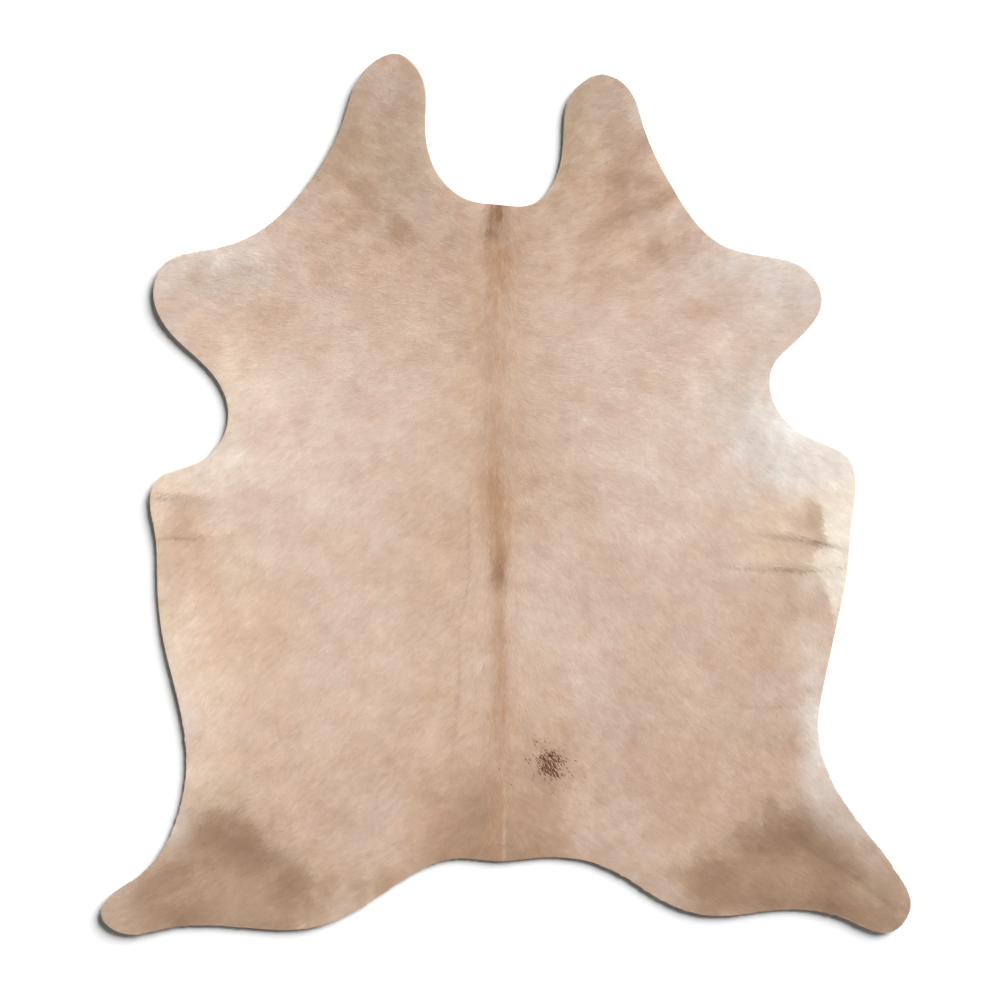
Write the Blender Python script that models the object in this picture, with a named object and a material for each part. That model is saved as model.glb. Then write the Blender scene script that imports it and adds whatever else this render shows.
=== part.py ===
"""Hair-on cattle hide, laid flat on the floor with its coat up.

Metres, +Z up. The hide rests on z = 0 with the neck towards +Y and the tail towards -Y.
The origin is on the floor under the middle of the outline's box.
"""
from typing import NamedTuple

import bmesh
import bpy
import numpy as np

# Driving dimensions, in metres
HIDE_LENGTH = 2.20
HIDE_WIDTH = 2.0225
THICKNESS = 0.004
SPINE_X = -0.014

# How high the rim curls off the floor, and how far in from the rim that starts, in metres
RIM_LIFT = 0.008
RIM_REACH = 0.18

# How finely the sheet is divided, in metres, and the cells from the spine to the rim
RIM_STEP = 0.050
CREASE_STEP = 0.013
FEWEST_ROWS = 3
CELLS_ACROSS = 7

# How far a rib keeps straight as it leaves the spine, what a steep rib adds to that, and how
# far it is straight where it meets the rim, as parts of its length; in cm the most for the rim
SPINE_PULL = 1.6
TURN_PULL = 0.75
RIM_PULL = 0.25
MOST_RIM_PULL = 13.0

CM = 0.01
WELD = 0.00001

# Coat colour in linear light, and its dull sheen
COAT_COLOUR = (0.60, 0.44, 0.33, 1.0)
COAT_ROUGHNESS = 0.8


class Station(NamedTuple):
    """A pair of landmarks on the rim, and where on the spine their ribs start, in cm."""

    place: str
    spine: float
    left: tuple
    right: tuple


class Lift(NamedTuple):
    """A place where the hide rises more than its rim: centre and reach in cm, height in m."""

    place: str
    x: float
    y: float
    reach_x: float
    reach_y: float
    height: float


class Crease(NamedTuple):
    """A soft ridge across the belly: ends, half width and waver in cm, height in m."""

    place: str
    start: tuple
    end: tuple
    half_width: float
    waver: float
    height: float


STATIONS = (
    Station("neck notch", 66.0, (-1.4, 72.4), (-1.4, 72.4)),
    Station("notch corner", 64.5, (-9.0, 73.5), (6.6, 72.5)),
    Station("flap foot", 61.5, (-16.4, 79.3), (12.3, 78.5)),
    Station("flap inner side", 57.5, (-20.1, 92.5), (14.6, 91.3)),
    Station("flap inner shoulder", 51.5, (-20.9, 104.3), (16.4, 99.9)),
    Station("flap tip", 49.0, (-26.6, 109.9), (24.6, 104.8)),
    Station("flap outer shoulder", 47.3, (-36.1, 104.7), (31.1, 100.8)),
    Station("flap outer side", 45.8, (-40.1, 94.7), (34.1, 93.0)),
    Station("side of the neck", 44.5, (-48.4, 78.8), (41.6, 76.8)),
    Station("shoulder", 43.2, (-62.6, 65.0), (53.6, 62.6)),
    Station("foreleg front", 41.9, (-75.1, 60.8), (66.1, 59.1)),
    Station("foreleg front corner", 40.7, (-85.4, 57.3), (75.1, 56.0)),
    Station("foreleg tip", 39.4, (-87.9, 50.8), (78.9, 48.3)),
    Station("foreleg back corner", 37.0, (-83.9, 40.8), (72.6, 38.8)),
    Station("armpit front", 31.3, (-72.9, 29.8), (66.6, 31.8)),
    Station("armpit", 22.5, (-69.2, 20.3), (66.4, 24.5)),
    Station("armpit back", 14.5, (-74.4, 9.3), (72.9, 15.8)),
    Station("belly corner front", 9.3, (-81.9, 6.2), (80.4, 12.4)),
    Station("belly corner bend", 5.0, (-86.9, 3.8), (85.6, 8.8)),
    Station("belly corner", 0.0, (-88.7, -1.0), (87.3, 3.0)),
    Station("front of the belly", -7.0, (-87.6, -9.0), (86.4, -6.3)),
    Station("belly", -20.0, (-86.9, -22.5), (85.1, -20.0)),
    Station("back of the belly", -32.5, (-85.6, -35.5), (82.9, -31.5)),
    Station("flank", -48.8, (-81.4, -53.0), (79.6, -46.8)),
    Station("waist", -60.0, (-79.7, -69.0), (78.1, -61.0)),
    Station("thigh", -66.0, (-81.4, -79.0), (80.9, -70.5)),
    Station("hock", -68.5, (-85.6, -89.0), (86.9, -80.5)),
    Station("front of the hind leg", -70.5, (-92.3, -96.0), (93.4, -88.6)),
    Station("hind leg front corner", -73.0, (-99.4, -101.3), (99.0, -96.8)),
    Station("hind leg tip", -76.0, (-100.9, -104.8), (101.1, -102.5)),
    Station("hind leg back corner", -78.0, (-95.9, -109.5), (96.9, -109.0)),
    Station("hind leg back", -79.3, (-86.1, -108.6), (85.6, -106.3)),
    Station("hind leg root", -80.6, (-62.6, -108.4), (67.9, -103.8)),
    Station("rump corner", -81.8, (-49.1, -108.3), (49.6, -105.0)),
    Station("rump bend", -83.0, (-37.1, -103.8), (38.4, -101.0)),
    Station("rump side", -84.0, (-25.9, -96.5), (25.6, -93.3)),
    Station("rump", -85.2, (-13.1, -91.0), (8.9, -90.7)),
    Station("tail", -86.3, (-1.4, -91.6), (-1.4, -91.6)),
)

LIFTS = (
    Lift("left neck flap", -30.0, 116.0, 26.0, 34.0, 0.005),
    Lift("right neck flap", 27.0, 111.0, 22.0, 30.0, 0.004),
    Lift("left foreleg", -97.0, 50.0, 30.0, 22.0, 0.005),
    Lift("right foreleg", 88.0, 47.0, 27.0, 20.0, 0.004),
    Lift("left belly corner", -96.0, -2.0, 22.0, 20.0, 0.003),
    Lift("right belly edge", 95.0, -4.0, 24.0, 32.0, 0.003),
    Lift("left flank", -90.0, -52.0, 18.0, 24.0, 0.002),
    Lift("left hind leg", -108.0, -110.0, 42.0, 26.0, 0.006),
    Lift("right hind leg", 108.0, -106.0, 40.0, 26.0, 0.005),
    Lift("left rump edge", -46.0, -116.0, 24.0, 16.0, 0.003),
    Lift("right rump edge", 52.0, -112.0, 26.0, 16.0, 0.003),
)

CREASES = (
    Crease("upper right belly", (55.0, -9.3), (92.0, -12.0), 2.6, 0.5, 0.0020),
    Crease("lower right belly", (52.0, -17.8), (92.0, -17.6), 2.4, 0.4, 0.0018),
    Crease("upper left belly", (-92.0, 0.0), (-66.0, -1.2), 2.6, 0.3, 0.0018),
    Crease("lower left belly", (-86.0, -10.4), (-68.0, -10.4), 2.4, 0.3, 0.0015),
)


def clear_scene():
    """Remove whatever the open file holds."""
    for item in list(bpy.data.objects):
        bpy.data.objects.remove(item, do_unlink=True)


def chord(a, b):
    """Straight distance between two points, or between rows of points."""
    return np.linalg.norm(np.subtract(b, a), axis=-1)


def is_creased(upper, lower):
    """Whether a crease crosses the stretch of hide between two stations."""
    marks = [y for crease in CREASES for y in (crease.start[1], crease.end[1])]
    return any(lower.spine < mark <= upper.spine for mark in marks)


def rows_between(upper, lower):
    """Number of rows of cells between two stations."""
    rim_span = CM * max(chord(upper.left, lower.left), chord(upper.right, lower.right))
    step = CREASE_STEP if is_creased(upper, lower) else RIM_STEP
    return max(FEWEST_ROWS, int(np.ceil(rim_span / step)))


def spline_slopes(points, spans):
    """Slopes at the points that make a closed cubic spline bend without a break."""
    before = np.roll(spans, 1)
    count = len(points)
    index = np.arange(count)
    matrix = np.zeros((count, count))
    matrix[index, index] = 2.0 * (before + spans)
    matrix[index, (index - 1) % count] = spans
    matrix[index, (index + 1) % count] = before
    ahead = (np.roll(points, -1, axis=0) - points) / spans[:, None]
    behind = np.roll(ahead, 1, axis=0)
    return np.linalg.solve(matrix, 3.0 * (spans[:, None] * behind + before[:, None] * ahead))


def hermite(u, start, end, start_slope, end_slope):
    """Cubic curve between two points with the given slopes, at the fractions u of its way."""
    return (
        (2 * u**3 - 3 * u**2 + 1) * start
        + (u**3 - 2 * u**2 + u) * start_slope
        + (3 * u**2 - 2 * u**3) * end
        + (u**3 - u**2) * end_slope
    )


def closed_spline(points, rows):
    """Smooth closed curve through the points, with a number of steps for each span."""
    spans = chord(points, np.roll(points, -1, axis=0))
    slopes = spline_slopes(points, spans)
    curve = []
    for i, steps in enumerate(rows):
        j = (i + 1) % len(points)
        u = (np.arange(steps) / steps)[:, None]
        curve.append(hermite(u, points[i], points[j], spans[i] * slopes[i], spans[i] * slopes[j]))
    return np.concatenate(curve)


def outward(rim, tail):
    """Unit vectors out of the hide, square to a rim that runs counter-clockwise from the neck.

    At the neck and at the tail they point along the spine.
    """
    run = np.roll(rim, -1, axis=0) - np.roll(rim, 1, axis=0)
    square = np.stack([run[:, 1], -run[:, 0]], axis=-1)
    square[0] = (0.0, 1.0)
    square[tail] = (0.0, -1.0)
    return square / np.linalg.norm(square, axis=-1, keepdims=True)


def side_rows(loop, row_count):
    """Split what is listed around the rim into its left and right side, neck to tail."""
    return loop[: row_count + 1], np.roll(loop[::-1], 1, axis=0)[: row_count + 1]


def ribs(rim, out, spine):
    """Points along the ribs from the spine to one side of the rim, in cm.

    A rib is a cubic curve that leaves the spine square to it and meets the rim square to it.
    """
    foot = np.stack([np.full_like(spine, SPINE_X / CM), spine], axis=-1)
    length = chord(foot, rim)
    sideways = rim[:, 0] - foot[:, 0]
    start_slope = np.zeros_like(rim)
    turn = np.abs(rim[:, 1] - spine) / length
    pull = SPINE_PULL * (1.0 + TURN_PULL * turn)
    start_slope[:, 0] = np.sign(sideways) * pull * np.sqrt(np.abs(sideways) * length)
    end_slope = np.minimum(RIM_PULL * length, MOST_RIM_PULL)[:, None] * out
    u = np.linspace(0.0, 1.0, CELLS_ACROSS + 1)[None, :, None]
    return hermite(u, foot[:, None], rim[:, None], start_slope[:, None], end_slope[:, None])


def sheet_plan():
    """Plan of the hide as rows of points from the left rim to the right one, in metres."""
    rows = [rows_between(a, b) for a, b in zip(STATIONS, STATIONS[1:])]
    row_count = sum(rows)
    loop = [s.left for s in STATIONS] + [s.right for s in STATIONS[-2:0:-1]]
    rim = closed_spline(np.array(loop), rows + rows[::-1])
    at_station = np.concatenate([[0], np.cumsum(rows)])
    spine = np.interp(np.arange(row_count + 1), at_station, [s.spine for s in STATIONS])

    left_rim, right_rim = side_rows(rim, row_count)
    left_out, right_out = side_rows(outward(rim, row_count), row_count)
    left = ribs(left_rim, left_out, spine)
    right = ribs(right_rim, right_out, spine)
    plan = np.concatenate([left[:, ::-1], right[:, 1:]], axis=1)

    low, high = rim.min(axis=0), rim.max(axis=0)
    return (plan - (low + high) / 2) * np.array([HIDE_WIDTH, HIDE_LENGTH]) / (high - low)


def dome(distance):
    """Soft bump that is 1 in the middle and ends level at distance 1."""
    return np.clip(1.0 - distance**2, 0.0, None) ** 2


def rim_rise(plan):
    """Height that the curl of the rim gives: a soft step up from RIM_REACH inside it."""
    rim = np.concatenate([plan[:, 0], plan[:, -1]])
    inside = chord(plan[:, :, None], rim).min(axis=-1)
    step = np.clip(1.0 - inside / RIM_REACH, 0.0, None)
    return RIM_LIFT * step**2 * (3.0 - 2.0 * step)


def lift_height(lift, x, y):
    """Height that one lift gives to the places x, y."""
    return lift.height * dome(np.hypot((x - lift.x * CM) / (lift.reach_x * CM),
                                       (y - lift.y * CM) / (lift.reach_y * CM)))


def crease_height(crease, x, y):
    """Height that one crease gives: a ridge that wavers and sinks at both ends."""
    start, end = np.array(crease.start) * CM, np.array(crease.end) * CM
    run = (x - start[0]) / (end[0] - start[0])
    middle = start[1] + (end[1] - start[1]) * run + crease.waver * CM * np.sin(7.0 * run)
    ridge = dome((y - middle) / (crease.half_width * CM))
    return crease.height * ridge * dome(2.0 * run - 1.0)


def height(plan):
    """Height of the flesh side over the floor: nought wherever the hide lies flat."""
    x, y = plan[..., 0], plan[..., 1]
    lifts = sum(lift_height(lift, x, y) for lift in LIFTS)
    creases = sum(crease_height(crease, x, y) for crease in CREASES)
    return rim_rise(plan) + lifts + creases


def coat_material():
    """Dull light beige coat."""
    material = bpy.data.materials.new("beige_coat")
    material.use_nodes = True
    shader = material.node_tree.nodes["Principled BSDF"]
    shader.inputs["Base Color"].default_value = COAT_COLOUR
    shader.inputs["Roughness"].default_value = COAT_ROUGHNESS
    shader.inputs["Metallic"].default_value = 0.0
    return material


def make_hide():
    """The hide: its flesh side as a welded grid, thickened upwards to the coat."""
    plan = sheet_plan()
    row_count, column_count = plan.shape[:2]
    level = height(plan)
    corner = np.arange(row_count * column_count).reshape(row_count, column_count)
    cells = np.stack([corner[1:, :-1], corner[1:, 1:], corner[:-1, 1:], corner[:-1, :-1]], axis=-1)

    mesh = bpy.data.meshes.new("hide")
    points = np.dstack([plan, level]).reshape(-1, 3)
    mesh.from_pydata(points.tolist(), [], cells.reshape(-1, 4).tolist())

    # The first and last rows fold in half, from rim to spine: weld their two halves
    sheet = bmesh.new()
    sheet.from_mesh(mesh)
    bmesh.ops.remove_doubles(sheet, verts=sheet.verts, dist=WELD)
    bmesh.ops.triangulate(sheet, faces=sheet.faces)
    sheet.to_mesh(mesh)
    sheet.free()

    hide = bpy.data.objects.new("hide", mesh)
    bpy.context.collection.objects.link(hide)
    mesh.materials.append(coat_material())
    mesh.shade_smooth()
    solid = hide.modifiers.new("thickness", "SOLIDIFY")
    solid.thickness = THICKNESS
    solid.offset = 1.0
    return hide


def main():
    """Build the hide."""
    clear_scene()
    make_hide()


main()
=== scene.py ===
"""Looks of a hair-on cattle hide: its leather, its coat of short hair, and a pale floor in soft light.

Metres, +Z up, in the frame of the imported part. The neck is towards +Y, the spine runs along Y, and the
flesh side lies on the floor at z = 0. Places on the hide are written in centimetres from its middle.
"""
import logging
import math
from dataclasses import dataclass, field
from enum import Enum

import bpy
import numpy as np
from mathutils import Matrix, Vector


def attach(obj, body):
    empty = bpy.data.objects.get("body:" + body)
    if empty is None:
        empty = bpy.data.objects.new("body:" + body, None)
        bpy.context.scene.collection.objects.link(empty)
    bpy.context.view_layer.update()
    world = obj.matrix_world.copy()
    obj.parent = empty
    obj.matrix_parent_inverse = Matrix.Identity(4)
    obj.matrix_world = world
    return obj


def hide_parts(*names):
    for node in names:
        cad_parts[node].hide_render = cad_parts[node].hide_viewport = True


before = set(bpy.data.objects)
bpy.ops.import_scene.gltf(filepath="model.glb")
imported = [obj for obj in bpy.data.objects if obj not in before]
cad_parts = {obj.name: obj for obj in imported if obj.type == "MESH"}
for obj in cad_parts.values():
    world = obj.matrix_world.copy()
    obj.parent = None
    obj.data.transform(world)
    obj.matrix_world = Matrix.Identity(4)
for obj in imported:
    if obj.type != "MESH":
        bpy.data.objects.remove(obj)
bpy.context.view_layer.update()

LOG = logging.getLogger("hide")
Array = np.ndarray
Pair = tuple[float, float]
Triple = tuple[float, float, float]

CM = 0.01
HIDE_LENGTH = 2.20
HIDE_WIDTH = 2.0225
SPINE_X = -0.014

# Names of the colour attribute and the maps, and the margin and the span of a map in its square
PAINT = "paint"
BAKE_MAP = "OFBake"
STRANDS = "strands"
MAP_MARGIN = 0.005
MAP_SPAN = 0.99

# How many squares the strand map is wide and high before it starts again, and their spacing
STRAND_COLUMNS = 97
STRAND_ROWS = 89
STRAND_PITCH = 2.0

# Where most of a noise node's values lie
NOISE_RANGE = (0.25, 0.75)

# Odd factors that mix a lattice cell and a seed into a random value
MIX_COLUMN = 374761393
MIX_ROW = 668265263
MIX_SEED = 69069
MIX_FIRST = 1274126177
MIX_SECOND = 2246822519
SEED_STEP = 101


class Tone(Enum):
    """Colours of the coat and the leather, as red, green and blue from 0 to 255."""

    PALE = (223, 201, 185)
    DEEP = (194, 158, 133)
    CREAM = (230, 213, 191)
    NEAR_WHITE = (247, 244, 239)
    IVORY = (242, 227, 209)
    MILKY = (222, 207, 196)
    SHELL = (247, 238, 229)
    DUSK = (202, 181, 166)
    DUN = (184, 159, 135)
    WARM = (222, 192, 163)
    TAN = (196, 163, 137)
    # Also painted shade of the neck's fine wrinkles, in the dark smears on the neck
    SMEAR = (174, 142, 116)
    FLAP = (193, 168, 150)
    SPINE = (184, 143, 110)
    SPINE_DARK = (150, 110, 82)
    LEG = (170, 141, 116)
    LEG_DARK = (147, 115, 92)
    # Painted shade for the thin lines along the creases
    CREASE_SHADE = (150, 120, 96)
    FRECKLE = (112, 74, 52)
    HALO = (180, 146, 122)
    SUEDE = (206, 190, 168)

    def linear(self) -> Array:
        """The colour as linear light from 0 to 1."""
        value = np.array(self.value) / 255.0
        return np.where(value <= 0.04045, value / 12.92, ((value + 0.055) / 1.055) ** 2.4)


class Axis(Enum):
    """Which way a painted line runs over the hide."""

    ACROSS = 0
    ALONG = 1


@dataclass(frozen=True)
class Station:
    """A pair of landmarks on the rim, and where on the spine their ribs start, in cm."""

    place: str
    spine: float
    left: Pair
    right: Pair


@dataclass(frozen=True)
class Lift:
    """A place where the hide rises more than its rim does: centre and reach in cm, height in m."""

    place: str
    x: float
    y: float
    reach_x: float
    reach_y: float
    height: float


@dataclass(frozen=True)
class Crease:
    """A soft ridge across the belly: ends, half width and waver in cm, height in m."""

    place: str
    start: Pair
    end: Pair
    half_width: float
    waver: float
    height: float


@dataclass(frozen=True)
class Mark:
    """A patch of colour on the coat.

    Its centre and reach are in cm, and it is half as strong at its reach. Its turn is in degrees,
    and soft is the share of the reach over which its edge fades, inwards and outwards.
    """

    place: str
    x: float
    y: float
    reach_x: float
    reach_y: float
    tone: Tone
    strength: float
    turn: float = 0.0
    soft: float = 1.1


@dataclass(frozen=True)
class PaintedLine:
    """A thin painted line, such as painted shade along a crease: stops of place along it, place across
    it, and strength.
    """

    place: str
    axis: Axis
    tone: Tone
    half_width: float
    stops: tuple[Triple, ...]


@dataclass(frozen=True)
class SpineMark:
    """The spine stripe at one place: its middle, half width and strength there, in cm."""

    y: float
    x: float
    half_width: float
    strength: float
    tone: Tone


@dataclass(frozen=True)
class PaleEdge:
    """Where the pale belly strip starts at one place, how soft that is, in cm, and its strength."""

    y: float
    x: float
    soft: float
    strength: float


STATIONS = (
    Station("neck notch", 66.0, (-1.4, 72.4), (-1.4, 72.4)),
    Station("notch corner", 64.5, (-9.0, 73.5), (6.6, 72.5)),
    Station("flap foot", 61.5, (-16.4, 79.3), (12.3, 78.5)),
    Station("flap inner side", 57.5, (-20.1, 92.5), (14.6, 91.3)),
    Station("flap inner shoulder", 51.5, (-20.9, 104.3), (16.4, 99.9)),
    Station("flap tip", 49.0, (-26.6, 109.9), (24.6, 104.8)),
    Station("flap outer shoulder", 47.3, (-36.1, 104.7), (31.1, 100.8)),
    Station("flap outer side", 45.8, (-40.1, 94.7), (34.1, 93.0)),
    Station("side of the neck", 44.5, (-48.4, 78.8), (41.6, 76.8)),
    Station("shoulder", 43.2, (-62.6, 65.0), (53.6, 62.6)),
    Station("foreleg front", 41.9, (-75.1, 60.8), (66.1, 59.1)),
    Station("foreleg front corner", 40.7, (-85.4, 57.3), (75.1, 56.0)),
    Station("foreleg tip", 39.4, (-87.9, 50.8), (78.9, 48.3)),
    Station("foreleg back corner", 37.0, (-83.9, 40.8), (72.6, 38.8)),
    Station("armpit front", 31.3, (-72.9, 29.8), (66.6, 31.8)),
    Station("armpit", 22.5, (-69.2, 20.3), (66.4, 24.5)),
    Station("armpit back", 14.5, (-74.4, 9.3), (72.9, 15.8)),
    Station("belly corner front", 9.3, (-81.9, 6.2), (80.4, 12.4)),
    Station("belly corner bend", 5.0, (-86.9, 3.8), (85.6, 8.8)),
    Station("belly corner", 0.0, (-88.7, -1.0), (87.3, 3.0)),
    Station("front of the belly", -7.0, (-87.6, -9.0), (86.4, -6.3)),
    Station("belly", -20.0, (-86.9, -22.5), (85.1, -20.0)),
    Station("back of the belly", -32.5, (-85.6, -35.5), (82.9, -31.5)),
    Station("flank", -48.8, (-81.4, -53.0), (79.6, -46.8)),
    Station("waist", -60.0, (-79.7, -69.0), (78.1, -61.0)),
    Station("thigh", -66.0, (-81.4, -79.0), (80.9, -70.5)),
    Station("hock", -68.5, (-85.6, -89.0), (86.9, -80.5)),
    Station("front of the hind leg", -70.5, (-92.3, -96.0), (93.4, -88.6)),
    Station("hind leg front corner", -73.0, (-99.4, -101.3), (99.0, -96.8)),
    Station("hind leg tip", -76.0, (-100.9, -104.8), (101.1, -102.5)),
    Station("hind leg back corner", -78.0, (-95.9, -109.5), (96.9, -109.0)),
    Station("hind leg back", -79.3, (-86.1, -108.6), (85.6, -106.3)),
    Station("hind leg root", -80.6, (-62.6, -108.4), (67.9, -103.8)),
    Station("rump corner", -81.8, (-49.1, -108.3), (49.6, -105.0)),
    Station("rump bend", -83.0, (-37.1, -103.8), (38.4, -101.0)),
    Station("rump side", -84.0, (-25.9, -96.5), (25.6, -93.3)),
    Station("rump", -85.2, (-13.1, -91.0), (8.9, -90.7)),
    Station("tail", -86.3, (-1.4, -91.6), (-1.4, -91.6)),
)

LIFTS = (
    Lift("left neck flap", -30.0, 116.0, 26.0, 34.0, 0.005),
    Lift("right neck flap", 27.0, 111.0, 22.0, 30.0, 0.004),
    Lift("left foreleg", -97.0, 50.0, 30.0, 22.0, 0.005),
    Lift("right foreleg", 88.0, 47.0, 27.0, 20.0, 0.004),
    Lift("left belly corner", -96.0, -2.0, 22.0, 20.0, 0.003),
    Lift("right belly edge", 95.0, -4.0, 24.0, 32.0, 0.003),
    Lift("left flank", -90.0, -52.0, 18.0, 24.0, 0.002),
    Lift("left hind leg", -108.0, -110.0, 42.0, 26.0, 0.006),
    Lift("right hind leg", 108.0, -106.0, 40.0, 26.0, 0.005),
    Lift("left rump edge", -46.0, -116.0, 24.0, 16.0, 0.003),
    Lift("right rump edge", 52.0, -112.0, 26.0, 16.0, 0.003),
)

CREASES = (
    Crease("upper right belly", (55.0, -9.3), (92.0, -12.0), 2.6, 0.5, 0.0020),
    Crease("lower right belly", (52.0, -17.8), (92.0, -17.6), 2.4, 0.4, 0.0018),
    Crease("upper left belly", (-92.0, 0.0), (-66.0, -1.2), 2.6, 0.3, 0.0018),
    Crease("lower left belly", (-86.0, -10.4), (-68.0, -10.4), 2.4, 0.3, 0.0015),
)

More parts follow.
